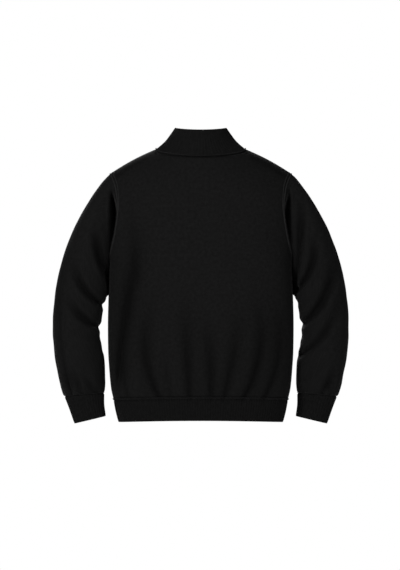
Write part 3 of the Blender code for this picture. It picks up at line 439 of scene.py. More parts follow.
def knit(name, dark, light, sheen, bump):
    """Knitted wool: rows of V-shaped stitches along the cloth's own map, uneven in tone, with a soft nap."""
    finish = Finish(name, Roughness=0.90, Sheen_Weight=sheen, Sheen_Roughness=0.16, Specular_IOR_Level=0.06)
    place = finish.node("ShaderNodeUVMap", {"uv_map": "cloth"})
    u, v, _ = finish.split(place)
    leg = (u / WALE).math("FRACT").math("SUBTRACT", 0.5).math("ABSOLUTE")
    slant = ((v / COURSE - leg * LEG_SLANT) * (2 * math.pi)).math("SINE")
    channel = leg.math("SUBTRACT", CHANNEL_FROM).math("MAXIMUM", 0.0) * -CHANNEL_DEEP
    spine = (SPINE_TO - leg).math("MAXIMUM", 0.0) * -SPINE_DEEP
    stitch = slant * 0.5 + channel + spine
    fuzz = finish.noise(900.0, 3.0, place)
    cloud = finish.noise(120.0, 5.0, place, Roughness=0.65)
    # Painted shade: the stitch term makes the colour darker where the stitches' relief is low.
    tone_and_stitch_shade = (cloud - 0.5) * CLOUD_TONE + (fuzz - 0.5) * FUZZ_TONE + stitch * STITCH_PAINTED_SHADE + 0.5
    # Painted shade: the colour is multiplied by each point's painted-shade attribute, which darkens troughs,
    # creases, seams and insides.
    painted_shade = finish.node("ShaderNodeAttribute", {"attribute_name": "painted_shade"}, output=2)
    lit = finish.mixed(tone_and_stitch_shade.math("ADD", 0.0, clamp=True), (dark,) * 3, (light,) * 3)
    finish.feed("Base Color", finish.mixed(painted_shade, (0.0,) * 3, lit))
    finish.relief(bump, 0.0005, stitch + fuzz * FUZZ_RELIEF)
    return finish.material


jersey = knit("black jersey", 0.0064, 0.0155, 0.045, 0.55)


# Painted shade: the inside of every knitted piece is drawn a fifth darker.
INSIDE_PAINTED_SHADE = 0.8
SMOOTH_UNDER = 55  # degrees between faces


def wall_piece(name, outer, normal, finish, u, v, closed=False, free=None, painted_shade=None):
    """A knitted wall with rounded edges: outer rows, over the top edge, back down the inside, and under.

    Its `cloth` map is in metres: u across and v up, for each point of the outer grid. The row named
    `free` is an open edge, and its rounding stays inside the piece's length. The last argument is
    painted shade: the share of its colour that each outer point shows, 1 on open cloth and less in
    deep troughs, in creases and beside seams. The inside gets a painted shade of its own.
    """
    up = unit(np.gradient(outer, axis=0))
    if free is not None:
        outer = outer.copy()
        outer[free] -= WALL / 2 * up[free] * (1 if free == -1 else -1)
    inner = outer - WALL * normal
    bends = np.radians([45, 90, 135])
    rows, heights, across = list(outer), list(v), list(u)
    painted_shade = np.ones(outer.shape[:2]) if painted_shade is None else painted_shade
    painted_shade_rows = list(painted_shade)

    def edge(r, sign):
        middle = (outer[r] + inner[r]) / 2
        for bend in bends:
            turn = bend if sign > 0 else math.pi - bend
            rows.append(middle + WALL / 2 * (normal[r] * math.cos(turn) + sign * up[r] * math.sin(turn)))
            heights.append(v[r] + sign * WALL / 2 * math.sin(turn))
            across.append(u[r])
            painted_shade_rows.append(painted_shade[r])

    edge(-1, 1)
    rows += list(inner[::-1])
    heights += list(v[::-1])
    across += list(u[::-1])
    # the inner rows get the inside's painted shade
    painted_shade_rows += [np.full(outer.shape[1], INSIDE_PAINTED_SHADE)] * len(outer)
    edge(0, -1)
    points = np.array(rows)
    count, width = points.shape[:2]
    maps = np.stack([np.array(across), np.array(heights)], axis=2)
    spans = width if closed else width - 1
    r, c = np.meshgrid(np.arange(count), np.arange(spans), indexing="ij")
    r2, c2 = (r + 1) % count, (c + 1) % width
    quads = np.stack([r * width + c, r * width + c2, r2 * width + c2, r2 * width + c], axis=2).reshape(-1, 4)
    uv = np.stack([maps[r, c], maps[r, c2], maps[r2, c2], maps[r2, c]], axis=2).reshape(-1, 4, 2)
    if closed:
        turn = np.abs(uv[:, 1, 0] - uv[:, 0, 0]) > 0.02
        step = np.median(np.abs(u[:, 1] - u[:, 0]))
        uv[turn, 1, 0] = uv[turn, 0, 0] + step
        uv[turn, 2, 0] = uv[turn, 3, 0] + step
    faces, uv = quads.tolist(), uv.tolist()
    if not closed:
        for c, flip in ((0, False), (width - 1, True)):
            tall = len(outer)
            for r in range(tall - 1):
                back = tall + len(bends) + (tall - 1 - r)
                cap = [r, r + 1, back - 1, back]
                faces.append([i * width + c for i in (cap[::-1] if flip else cap)])
            top = [tall - 1 + i for i in range(len(bends) + 2)]
            low = [2 * tall + len(bends) - 1 + i for i in range(len(bends) + 1)] + [0]
            for ring in (top, low):
                faces.append([i * width + c for i in (ring[::-1] if flip else ring)])
        flat = maps.reshape(-1, 2)
        uv += [[flat[i].tolist() for i in face] for face in faces[len(quads) :]]
    return mesh_piece(name, points.reshape(-1, 3), faces, uv, finish, np.array(painted_shade_rows).reshape(-1))


def face_outwards(mesh, unsorted=False):
    """Turns the faces of a closed mesh outwards."""
    work = bmesh.new()
    work.from_mesh(mesh)
    if unsorted:
        bmesh.ops.recalc_face_normals(work, faces=work.faces)
    if work.calc_volume(signed=True) < 0:
        bmesh.ops.reverse_faces(work, faces=work.faces)
    work.to_mesh(mesh)
    work.free()


def mesh_piece(name, points, faces, uv, finish, painted_shade=None):
    """One mesh object with its faces outwards, its cloth map, its painted shade and its finish."""
    mesh = bpy.data.meshes.new(name)
    mesh.from_pydata([tuple(point) for point in points], [], faces)
    painted_shade = np.ones(len(points)) if painted_shade is None else painted_shade
    mesh.attributes.new("painted_shade", "FLOAT", "POINT").data.foreach_set("value", painted_shade.astype(np.float32))
    if uv is not None:
        layer = mesh.uv_layers.new(name="cloth")
        layer.data.foreach_set("uv", np.concatenate([np.array(corner).reshape(-1) for corner in uv]))
    face_outwards(mesh)
    mesh.materials.append(finish)
    mesh.shade_smooth()
    mesh.set_sharp_from_angle(angle=math.radians(SMOOTH_UNDER))
    return add_object(name, mesh)


def lengths(grid, axis, zero):
    """How far each point lies along its row or column, from the one numbered `zero`."""
    step = np.linalg.norm(np.diff(grid, axis=axis), axis=2)
    pad = np.zeros((1, grid.shape[1])) if axis == 0 else np.zeros((grid.shape[0], 1))
    total = np.concatenate([pad, np.cumsum(step, axis=axis)], axis=axis)
    return total - np.take(total, [zero], axis=axis)


def dress(made, node):
    """A cloth piece in place of its plain solid."""
    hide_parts(node)
    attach(made, "garment")


back_halves, back_painted_shades = {}, {}
for side in (1, -1):
    back_halves[side], back_painted_shades[side] = half_panel(1, side, 0.0, BACK_FOLDS)
back_grid = np.concatenate([back_halves[1][:, ::-1], back_halves[-1][:, 1:]], axis=1)
back_painted_shade = np.concatenate([back_painted_shades[1][:, ::-1], back_painted_shades[-1][:, 1:]], axis=1)
back_normal = grid_normals(back_grid, (0, 1, 0))
middle = back_grid.shape[1] // 2
u, v = lengths(back_grid, 1, middle), lengths(back_grid, 0, 0)
back = wall_piece("back_panel", back_grid, back_normal, jersey, u, v, painted_shade=back_painted_shade)
dress(back, "back")


# ------------------------------------------------------------
# Fronts: two panels of the same jersey. Each stops short of the middle, where its edge is turned in
# and sewn to the zip's tape.
# ------------------------------------------------------------
ZIP_EDGE = 0.008
FRONT_FOLDS = [
    (0.0560, -0.620, 0.0640, -0.420, 0.0050, 0.0080, 0.0044),
    (0.1080, -0.620, 0.1330, -0.400, 0.0160, 0.0080, 0.0060),
    (0.1580, -0.620, 0.1840, -0.360, 0.0200, 0.0090, 0.0052),
    (-0.0480, -0.620, -0.0600, -0.455, -0.0040, 0.0080, 0.0042),
    (-0.0930, -0.620, -0.1180, -0.385, -0.0170, 0.0080, 0.0060),
    (-0.1480, -0.620, -0.1800, -0.420, -0.0200, 0.0085, 0.0052),
    (0.0280, -0.620, 0.0300, -0.555, 0.0000, 0.0050, 0.0016),
    (0.1330, -0.620, 0.1480, -0.550, 0.0040, 0.0060, 0.0020),
    (-0.0240, -0.620, -0.0260, -0.565, 0.0000, 0.0050, 0.0016),
    (-0.1240, -0.620, -0.1400, -0.560, -0.0040, 0.0060, 0.0020),
]
SIDE_NAMES = {1: "left", -1: "right"}

front_grids = {}
for side, side_name in SIDE_NAMES.items():
    grid, painted_shade_share = half_panel(-1, side, ZIP_EDGE, FRONT_FOLDS)
    grid[:, 0, 0] = side * ZIP_EDGE
    front_grids[side] = grid
    normal = grid_normals(grid, (0, -1, 0))
    normal[:, 0] = unit(normal[:, 0] * (0, 1, 1))
    u, v = lengths(grid, 1, 0), lengths(grid, 0, 0)
    made = wall_piece(f"front_panel_{side_name}", grid, normal, jersey, u, v, painted_shade=painted_shade_share)
    dress(made, f"front_{side_name}")


# ------------------------------------------------------------
# Sleeves: set-in tubes of jersey with the seam under the arm. They hang with the elbow a little bent,
# so short creases run in from the inner side, and the head rolls over the armhole seam.
# ------------------------------------------------------------
SLEEVE_FORWARD = 0.035
SLEEVE_FINER = 8
SLEEVE_INWARD, SLEEVE_LIP = (0.35, 1.0, 0.35), 0.22
SLEEVE_GIRTH_MAP = 0.36  # the cloth map's width round the sleeve
# The crease beside the armhole: where it comes up again, how deep it dives at the back, the share of
# that in front, and its top and foot, as depths below the neck
CREASE_EDGE = {1: (0.2120, 0.2335), -1: (0.2060, 0.2310)}
CREASE_DIVE, CREASE_IN_FRONT = 0.85, 0.6
CREASE_TOP, CREASE_FOOT, CREASE_STEP = (0.078, 0.130), (0.275, 0.300), 0.0055
CREASE_SET_OUT, CREASE_SET_OUT_TO = 0.006, (0.09, 0.16)  # it starts this far out, down to there
# The part of the sleeve's front that is moved towards the body's side under the arm
LIE_Y, LIE_WIDE, LIE_MOST, LIE_CLEAR = -0.030, 0.016, 0.014, 0.0012
LIE_LEVELS = (0.2, 1.6), (9.3, 10.2)
# Painted shade: how much darker the colour is drawn in the sleeve's troughs and from what trough depth, in the
# crease beside the armhole, and under the arm.
SLEEVE_PAINTED_SHADE, SLEEVE_PAINTED_SHADE_FROM, CREASE_PAINTED_SHADE, UNDERARM_PAINTED_SHADE = 0.50, 0.0008, 0.86, 0.7
# outer x and z, inner x and z, depth, how much of the armhole's shape is kept, and how far it tucks in
SLEEVE = [
    (0.2265, -0.0600, 0.2280, -0.2850, 0.0600, 1.00, 0.00),
    (0.2348, -0.0675, 0.2287, -0.2875, 0.0605, 0.66, 0.20),
    (0.2460, -0.0800, 0.2294, -0.2910, 0.0610, 0.38, 0.32),
    (0.2598, -0.0983, 0.2301, -0.2960, 0.0620, 0.18, 0.24),
    (0.2750, -0.1205, 0.2309, -0.3025, 0.0630, 0.07, 0.12),
    (0.2903, -0.1450, 0.2317, -0.3100, 0.0640, 0.00, 0.04),
    (0.3068, -0.1750, 0.2325, -0.3190, 0.0650, 0.00, 0.00),
    (0.3213, -0.2050, 0.2332, -0.3290, 0.0660, 0.00, 0.00),
    (0.3333, -0.2350, 0.2339, -0.3400, 0.0665, 0.00, 0.00),
    (0.3438, -0.2650, 0.2346, -0.3525, 0.0660, 0.00, 0.00),
    (0.3523, -0.2950, 0.2358, -0.3670, 0.0650, 0.00, 0.00),
    (0.3595, -0.3263, 0.2410, -0.3840, 0.0640, 0.00, 0.00),
    (0.3645, -0.3600, 0.2448, -0.4040, 0.0630, 0.00, 0.00),
    (0.3685, -0.3950, 0.2475, -0.4250, 0.0620, 0.00, 0.00),
    (0.3703, -0.4275, 0.2512, -0.4460, 0.0605, 0.00, 0.00),
    (0.3703, -0.4600, 0.2530, -0.4640, 0.0590, 0.00, 0.00),
    (0.3680, -0.4900, 0.2490, -0.4838, 0.0570, 0.00, 0.00),
    (0.3650, -0.5212, 0.2430, -0.5112, 0.0545, 0.00, 0.00),
    (0.3588, -0.5562, 0.2395, -0.5450, 0.0515, 0.00, 0.00),
    (0.3515, -0.5900, 0.2385, -0.5800, 0.0470, 0.00, 0.00),
    (0.3440, -0.6150, 0.2408, -0.6065, 0.0395, 0.00, 0.00),
]
SLEEVE_BACK_FOLDS = {
    1: [
        (0.2290, -0.328, 0.2640, -0.200, 0.0050, 0.0066, 0.0165),
        (0.2480, -0.387, 0.3200, -0.285, 0.0120, 0.0062, 0.0125),
        (0.2590, -0.441, 0.3300, -0.378, 0.0070, 0.0070, 0.0115),
        (0.3420, -0.545, 0.3250, -0.215, 0.0195, 0.0052, 0.0050),
        (0.3230, -0.612, 0.3380, -0.560, 0.0000, 0.0055, 0.0060),
        (0.2960, -0.612, 0.3260, -0.545, 0.0000, 0.0058, 0.0060),
        (0.2620, -0.612, 0.2920, -0.555, 0.0000, 0.0060, 0.0050),
        (0.2560, -0.612, 0.2590, -0.585, 0.0000, 0.0030, 0.0030),
    ],
    -1: [
        (0.2370, -0.320, 0.2520, -0.110, 0.0040, 0.0052, 0.0130),
        (0.2360, -0.355, 0.2850, -0.225, 0.0160, 0.0060, 0.0130),
        (0.2550, -0.433, 0.3350, -0.285, 0.0180, 0.0080, 0.0135),
        (0.2580, -0.505, 0.3470, -0.378, 0.0160, 0.0072, 0.0085),
        (0.2990, -0.615, 0.3390, -0.545, 0.0030, 0.0060, 0.0080),
        (0.2600, -0.575, 0.2850, -0.550, 0.0000, 0.0060, 0.0030),
        (0.2560, -0.612, 0.2580, -0.590, 0.0000, 0.0035, 0.0035),
        (0.3240, -0.612, 0.3300, -0.585, 0.0000, 0.0040, 0.0040),
    ],
}
SLEEVE_FRONT_FOLDS = {
    1: [
        (0.2460, -0.385, 0.3150, -0.300, 0.0110, 0.0070, 0.0080),
        (0.2580, -0.440, 0.3300, -0.385, 0.0070, 0.0075, 0.0085),
        (0.2540, -0.500, 0.3400, -0.440, 0.0120, 0.0080, 0.0060),
        (0.2950, -0.612, 0.3280, -0.555, 0.0000, 0.0065, 0.0045),
    ],
    -1: [
        (0.2440, -0.380, 0.3150, -0.310, 0.0100, 0.0070, 0.0080),
        (0.2540, -0.432, 0.3300, -0.340, 0.0140, 0.0080, 0.0090),
        (0.2540, -0.490, 0.3420, -0.410, 0.0130, 0.0080, 0.0065),
        (0.3050, -0.612, 0.3340, -0.555, 0.0020, 0.0065, 0.0045),
    ],
}
sleeve_columns = [smooth_curve([(k, *row) for k, row in enumerate(SLEEVE)], 1 + i) for i in range(7)]


def section(values, angles, side, forward):
    """One slice through a sleeve or cuff, from its outer side round by the back."""
    outer_x, outer_z, inner_x, inner_z, depth = values[:5]
    along = (1 + np.cos(angles)) / 2
    y = depth * np.sign(np.sin(angles)) * np.abs(np.sin(angles)) ** 0.85 - forward
    x, z = side * (inner_x + (outer_x - inner_x) * along), inner_z + (outer_z - inner_z) * along
    return np.stack([x, y, z], axis=1)


armhole_loops = {}
for side, side_name in SIDE_NAMES.items():
    down = back_halves[side][::-1][: ARMHOLE_ROWS + 1, -1]
    up = front_grids[side][::-1][: ARMHOLE_ROWS + 1, -1][::-1]
    loop = np.concatenate([down, up[1:-1]])
    armhole_loops[side] = loop
    angles = 2 * np.pi * np.arange(len(loop)) / len(loop)
    scoop = loop - section(SLEEVE[0], angles, side, 0.0)
    turn = np.degrees(np.minimum(angles, 2 * np.pi - angles))
    tucked = ease(18, 60, turn) * fade(150, 176, turn)
    last = len(SLEEVE) - 1
    levels = np.linspace(0, last, last * SLEEVE_FINER + 1)
    rows = []
    for k in levels:
        values = [float(column(k)) for column in sleeve_columns]
        points = section(values, angles, side, SLEEVE_FORWARD * (k / last) ** 2) + values[5] * scoop
        points[:, 1] *= 1 - values[6] * tucked
        rows.append(points)
    grid = np.array(rows)

    # Beside the armhole seam the sleeve dives under the body's edge, and comes up again further out
    from_seam = lengths(grid, 0, 0)
    x, y, z = side * grid[..., 0], grid[..., 1], grid[..., 2]
    set_out = side * loop[None, :, 0] + CREASE_SET_OUT * fade(*CREASE_SET_OUT_TO, -z)
    dive = ease(0.0, CREASE_STEP, x - set_out) * fade(*CREASE_EDGE[side], x)
    dive *= ease(*CREASE_TOP, -z) * fade(*CREASE_FOOT, -z) * ease(0.0, 0.004, from_seam)
    y = y * (1 - CREASE_DIVE * dive * np.where(y < 0, CREASE_IN_FRONT, 1.0))
    grid[..., 1] = y

    # Under the arm, in front, it is moved towards the body's side and stops clear of it
    begins, ends = LIE_LEVELS
    lie = bell(y - LIE_Y, LIE_WIDE) * (fade(*ends, levels) * ease(*begins, levels))[:, None]
    lie *= (np.cos(angles) < -0.3)[None, :]
    share = np.clip(np.abs(y) / front_at(z), 0, 0.999)
    beside = half_at(z) * (1 - share**SQUARENESS) ** (1 / SQUARENESS) + LIE_CLEAR
    x = np.where(y < 0, np.minimum(x, np.maximum(x - LIE_MOST * lie, beside)), x)
    grid[..., 0] = side * x

    at_back = ease(-0.35, 0.35, np.sin(angles))[None, :]
    depth = trough_depth(x, z, SLEEVE_BACK_FOLDS[side], SLEEVE_LIP) * at_back
    depth += trough_depth(x, z, SLEEVE_FRONT_FOLDS[side], SLEEVE_LIP) * (1 - at_back)
    depth *= (ease(6, 34, turn) * (1 - 0.45 * ease(158, 178, turn)))[None, :]
    uneven = drift(grid[..., 0] + np.sin(angles)[None, :] * 0.05, z, 11)
    depth -= uneven * fade(last - 1.5, last, levels)[:, None]
    depth *= (ease(0, 1.6, levels) * (1 - 0.3 * ease(last - 1.0, last, levels)))[:, None]
    # Painted shade: the colour is drawn darker in deep troughs, in the bottom of the crease beside the armhole,
    # and under the arm beside the body's side.
    painted_shade_share = 1 - SLEEVE_PAINTED_SHADE * np.clip((depth - SLEEVE_PAINTED_SHADE_FROM) / DEEP, 0, 1)
    painted_shade_share *= 1 - CREASE_PAINTED_SHADE * ease(0.35, 0.95, dive) * ease(0.082, 0.140, -z) * (0.45 + 0.55 * at_back)
    under_arm = ease(0.24, 0.285, -z) * fade(0.345, 0.375, -z)
    painted_shade_share *= 1 - UNDERARM_PAINTED_SHADE * fade(0.001, 0.009, x - half_at(z)) * under_arm
    depth += GROOVE * bell((grid - grid[-1:])[..., 2], 0.0026)
    from_middle = grid - grid.mean(axis=1, keepdims=True)
    grid = grid - unit(from_middle * SLEEVE_INWARD) * depth[..., None]
    normal = grid_normals(grid, grid - grid.mean(axis=1, keepdims=True), closed=True)
    u = np.tile(angles / (2 * np.pi) * SLEEVE_GIRTH_MAP, (len(grid), 1))
    v = lengths(grid, 0, 0)
    made = wall_piece(f"sleeve_knit_{side_name}", grid, normal, jersey, u, v, closed=True, painted_shade=painted_shade_share)
    dress(made, f"sleeve_{side_name}")


# ------------------------------------------------------------
# Collar: a stand collar of rib knit, linked to the neckline. It narrows as it rises and is open in
# front, where the zip closes it. Each rib is two raised wales with a sunk channel beside them.
# ------------------------------------------------------------
RIB_RISE = 0.0008
RIB_SHAPE = [0.0, 0.05, 0.45, 0.92, 1.0, 0.86, 1.0, 0.92, 0.45, 0.05]  # height across one rib
RIB_MAP = 0.0076  # four wales of the cloth map to one rib
COLLAR_RIBS = 72
RIM_SIDE_Z, RIM_BACK_Z, RIM_FRONT_Z = 0.0560, 0.0505, 0.0430
RIM_BACK_Y, RIM_FRONT_Y = 0.0560, -0.0760
COLLAR_DIP, COLLAR_DIP_TALL = 0.0030, 0.035  # it sinks in beside its seam, and over this share of its height
# share of its height, half width
COLLAR = [(0.00, 0.1150), (0.10, 0.1068), (0.22, 0.0985), (0.42, 0.0870), (0.70, 0.0752), (1.00, 0.0633)]

rib_knit = knit("black rib", 0.0056, 0.0128, 0.045, 0.5)
# Painted highlight: two lighter copies of the knit for the seam welts, so that they show as lit lines; the
# armhole one is lighter still.
edge_knit_painted_highlight = knit("linked edge painted highlight", 0.0085, 0.0165, 0.05, 0.4)
armhole_knit_painted_highlight = knit("linked armhole painted highlight", 0.0150, 0.0290, 0.05, 0.4)


def even_line(points, count, closed=False):
    """Points spaced evenly along a line."""
    if closed:
        points = np.concatenate([points, points[:1]])
    length = np.concatenate([[0], np.cumsum(np.linalg.norm(np.diff(points, axis=0), axis=1))])
    at = np.linspace(0, length[-1], count + 1)[: count if closed else count + 1]
    return np.stack([np.interp(at, length, points[:, i]) for i in range(3)], axis=1)


def ribbed(grid, normal, share):
    """Lifts a grid's columns into ribs, each row to its share of their full height."""
    shape = np.array(RIB_SHAPE)[np.arange(grid.shape[1]) % len(RIB_SHAPE)]
    return grid + normal * (RIB_RISE * share[:, None] * shape[None, :])[..., None]


def rib_map(grid):
    """How far across the cloth's map each point of a ribbed grid lies."""
    return np.tile(np.arange(grid.shape[1]) / len(RIB_SHAPE) * RIB_MAP, (len(grid), 1))


neck_left = front_grids[1][-1, : NECK_COLUMNS + 1]
neck_right = front_grids[-1][-1, : NECK_COLUMNS + 1][::-1]
neck_back = back_grid[-1, SIDE_COLUMNS : SIDE_COLUMNS + 2 * NECK_COLUMNS + 1]
neck_line = np.concatenate([neck_left, neck_back[1:-1], neck_right])
count = COLLAR_RIBS * len(RIB_SHAPE)
place = np.linspace(0, len(neck_line) - 1, count + 1)
ring = np.stack([np.interp(place, range(len(neck_line)), neck_line[:, i]) for i in range(3)], axis=1)
share = np.linspace(0, 1, count + 1)
collar_half = smooth_curve(COLLAR, 1)
level = np.array([0, 0.012, 0.028, 0.045, 0.07, 0.10, *np.linspace(0.15, 0.9, 14), 0.94, 0.97, 1.0])
rows = [ring]
for rise in level[1:]:
    half = float(collar_half(rise))
    begin = math.asin(ZIP_EDGE / half)
    angle = begin + (2 * math.pi - 2 * begin) * share
    rim_y = (RIM_BACK_Y + RIM_FRONT_Y) / 2 - (RIM_BACK_Y - RIM_FRONT_Y) / 2 * np.cos(angle)
    ends = np.where(np.cos(angle) < 0, RIM_BACK_Z, RIM_FRONT_Z)
    rim_z = RIM_SIDE_Z + (ends - RIM_SIDE_Z) * np.abs(np.cos(angle)) ** 1.5
    y, z = (ring[:, i] + (rim - ring[:, i]) * rise for i, rim in ((1, rim_y), (2, rim_z)))
    rows.append(np.stack([half * np.sin(angle), y, z], axis=1))
collar_base = np.array(rows)
outward = (collar_base - collar_base.mean(axis=(0, 1))) * (1, 1, 0)
collar_normal = grid_normals(collar_base, outward)
dip = COLLAR_DIP * bell(level, COLLAR_DIP_TALL)
dip[0] = 0.0  # the lowest row meets the panels' edges, so the seam is closed
collar_base = collar_base - collar_normal * dip[:, None, None]
rib_share = ease(0, 0.06, level) * (1 - 0.6 * ease(0.94, 1, level))
collar_grid = ribbed(collar_base, collar_normal, rib_share)
collar_grid[:, 0, 0], collar_grid[:, -1, 0] = ZIP_EDGE, -ZIP_EDGE
u, v = rib_map(collar_grid), lengths(collar_base, 0, 0)
collar = wall_piece("collar_rib", collar_grid, collar_normal, rib_knit, u, v, free=-1)
dress(collar, "collar")


# ------------------------------------------------------------
# Hem band: the same rib knit, linked to the body's lower edge and drawing it in. It ends at the zip
# on both sides.
# ------------------------------------------------------------
HEM_RIBS = 160
HEM_Z, HEM_SAG, HEM_HALF, HEM_BACK, HEM_FRONT = -0.6760, 0.0040, 0.2050, 0.0930, 0.0985
HEM_BELLY, HEM_GROOVE_AT = 0.0012, 0.93  # it swells a little and sinks in again under its seam
HEM_PAINTED_SHADE, CUFF_PAINTED_SHADE = 0.83, 0.90  # painted shade: the hem band and the cuffs are drawn darker than the collar of the same rib knit


def hem_ring(half, depth_at, count):
    """A ring open at the front, from the left front edge round the back to the right one."""
    fine = np.linspace(0, 2 * math.pi, 7201)
    x = half * np.sign(np.sin(fine)) * np.abs(np.sin(fine)) ** (2 / SQUARENESS)
    behind = np.cos(fine) < 0
    y = np.where(behind, depth_at(x, 1), depth_at(x, -1))
    line = np.stack([x, y, np.zeros(len(x))], axis=1)[(np.abs(x) > ZIP_EDGE) | behind]
    edge_y = depth_at(np.array([ZIP_EDGE]), -1)[0]
    return even_line(np.concatenate([[(ZIP_EDGE, edge_y, 0)], line, [(-ZIP_EDGE, edge_y, 0)]]), count)


def hem_bottom_depth(x, face):
    part = np.clip(np.abs(x) / HEM_HALF, 0, 1)
    return face * (HEM_BACK if face > 0 else HEM_FRONT) * (1 - part**SQUARENESS) ** (1 / SQUARENESS)


count = HEM_RIBS * len(RIB_SHAPE)
top = hem_ring(BODY_LEVELS[0][1], lambda x, face: body_depth(x, hem_seam(x), face), count)
top[:, 2] = hem_seam(top[:, 0])
bottom = hem_ring(HEM_HALF, hem_bottom_depth, count)
bottom[:, 2] = HEM_Z - HEM_SAG * (bottom[:, 0] / HEM_HALF) ** 2
level = [0, 0.012, 0.03, 0.06, 0.12, 0.22, 0.34, 0.46, 0.58, 0.70, 0.80, 0.88, 0.92, 0.95, 0.975, 1.0]
level = np.array(level)
hem_base = bottom[None] + (top - bottom)[None] * level[:, None, None]
hem_normal = grid_normals(hem_base, hem_base * (1, 1, 0))
belly = HEM_BELLY * np.sin(np.pi * level) - 0.5 * GROOVE * bell(level - HEM_GROOVE_AT, 0.03)
hem_base = hem_base + hem_normal * belly[:, None, None]
at_back = ease(-0.03, 0.03, hem_base[..., 1])
held = trough_depth(hem_base[..., 0], hem_base[..., 2], BACK_FOLDS) * at_back
held += trough_depth(hem_base[..., 0], hem_base[..., 2], FRONT_FOLDS) * (1 - at_back)
calm = fade(*SIDE_CALM, np.abs(hem_base[..., 0]) / BODY_LEVELS[0][1])  # as the panels' lower edges
sunk = held * HELD * calm * ease(0.70, 1.0, level)[:, None]
hem_base = hem_base - unit(hem_normal * INWARD) * sunk[..., None]
hem_grid = ribbed(hem_base, hem_normal, fade(0.94, 1, level) * (0.4 + 0.6 * ease(0, 0.08, level)))
hem_grid[:, 0, 0], hem_grid[:, -1, 0] = ZIP_EDGE, -ZIP_EDGE
u, v = rib_map(hem_grid), lengths(hem_base, 0, 0)
# Painted shade: the hem band is darker all over, and darker still in lines at its rib's groove and at its seam.
hem_painted_shade = HEM_PAINTED_SHADE - 0.2 * bell(level - 0.90, 0.025) - 0.25 * bell(level - 1.0, 0.012)
hem_painted_shade = np.tile(hem_painted_shade[:, None], (1, count + 1))
hem = wall_piece("hem_band", hem_grid, hem_normal, rib_knit, u, v, free=0, painted_shade=hem_painted_shade)
dress(hem, "hem_rib")


# ------------------------------------------------------------
# Cuffs: narrow tubes of the same rib knit, linked to the sleeves' ends.
# ------------------------------------------------------------
CUFF_RIBS, CUFF_FORWARD = 36, 0.041
# share of its height, then as for a sleeve
CUFF = [
    (0.0, 0.3412, -0.6151, 0.2422, -0.6069, 0.0360),
    (0.4, 0.3315, -0.6400, 0.2425, -0.6300, 0.0325),
    (1.0, 0.3158, -0.6845, 0.2385, -0.6660, 0.0295),
]
level = np.array([0, 0.02, 0.045, 0.08, 0.13, *np.linspace(0.2, 0.9, 9), 0.95, 0.98, 1.0])
cuff_columns = [smooth_curve(CUFF, 1 + i) for i in range(5)]
cuff_grids = {}
count = CUFF_RIBS * len(RIB_SHAPE)
fine = np.linspace(0, 2 * math.pi, 1441)[:-1]
for side, side_name in SIDE_NAMES.items():
    rows = []
    for rise in level:
        values = [float(column(rise)) for column in cuff_columns]
        forward = SLEEVE_FORWARD + (CUFF_FORWARD - SLEEVE_FORWARD) * min(rise / 0.4, 1)
        rows.append(even_line(section(values, fine, side, forward), count, closed=True))
    base = np.array(rows)
    normal = grid_normals(base, base - base.mean(axis=1, keepdims=True), closed=True)
    base = base - normal * (GROOVE * bell(level, 0.045))[:, None, None]
    grid = ribbed(base, normal, ease(0, 0.08, level) * (1 - 0.6 * ease(0.92, 1, level)))
    cuff_grids[side] = base
    u, v = rib_map(base), lengths(base, 0, 0)
    # Painted shade: the cuff is darker all over, and darker still beside its seam at the top.
    painted_shade_share = np.tile((CUFF_PAINTED_SHADE - 0.2 * bell(level, 0.030))[:, None], (1, count))
    made = wall_piece(f"cuff_knit_{side_name}", grid, normal, rib_knit, u, v, closed=True, free=-1, painted_shade=painted_shade_share)
    dress(made, f"cuff_{side_name}")


# ------------------------------------------------------------
# Linked seams: where two knitted pieces are joined loop to loop, a narrow ridge of chained loops
# stands up. It runs round the neck, the armholes, the hem and the cuffs.
# ------------------------------------------------------------
LOOP_PITCH, LOOP_LONG, LOOP_WIDE, LOOP_HIGH = 0.0022, 0.0016, 0.0012, 0.0009


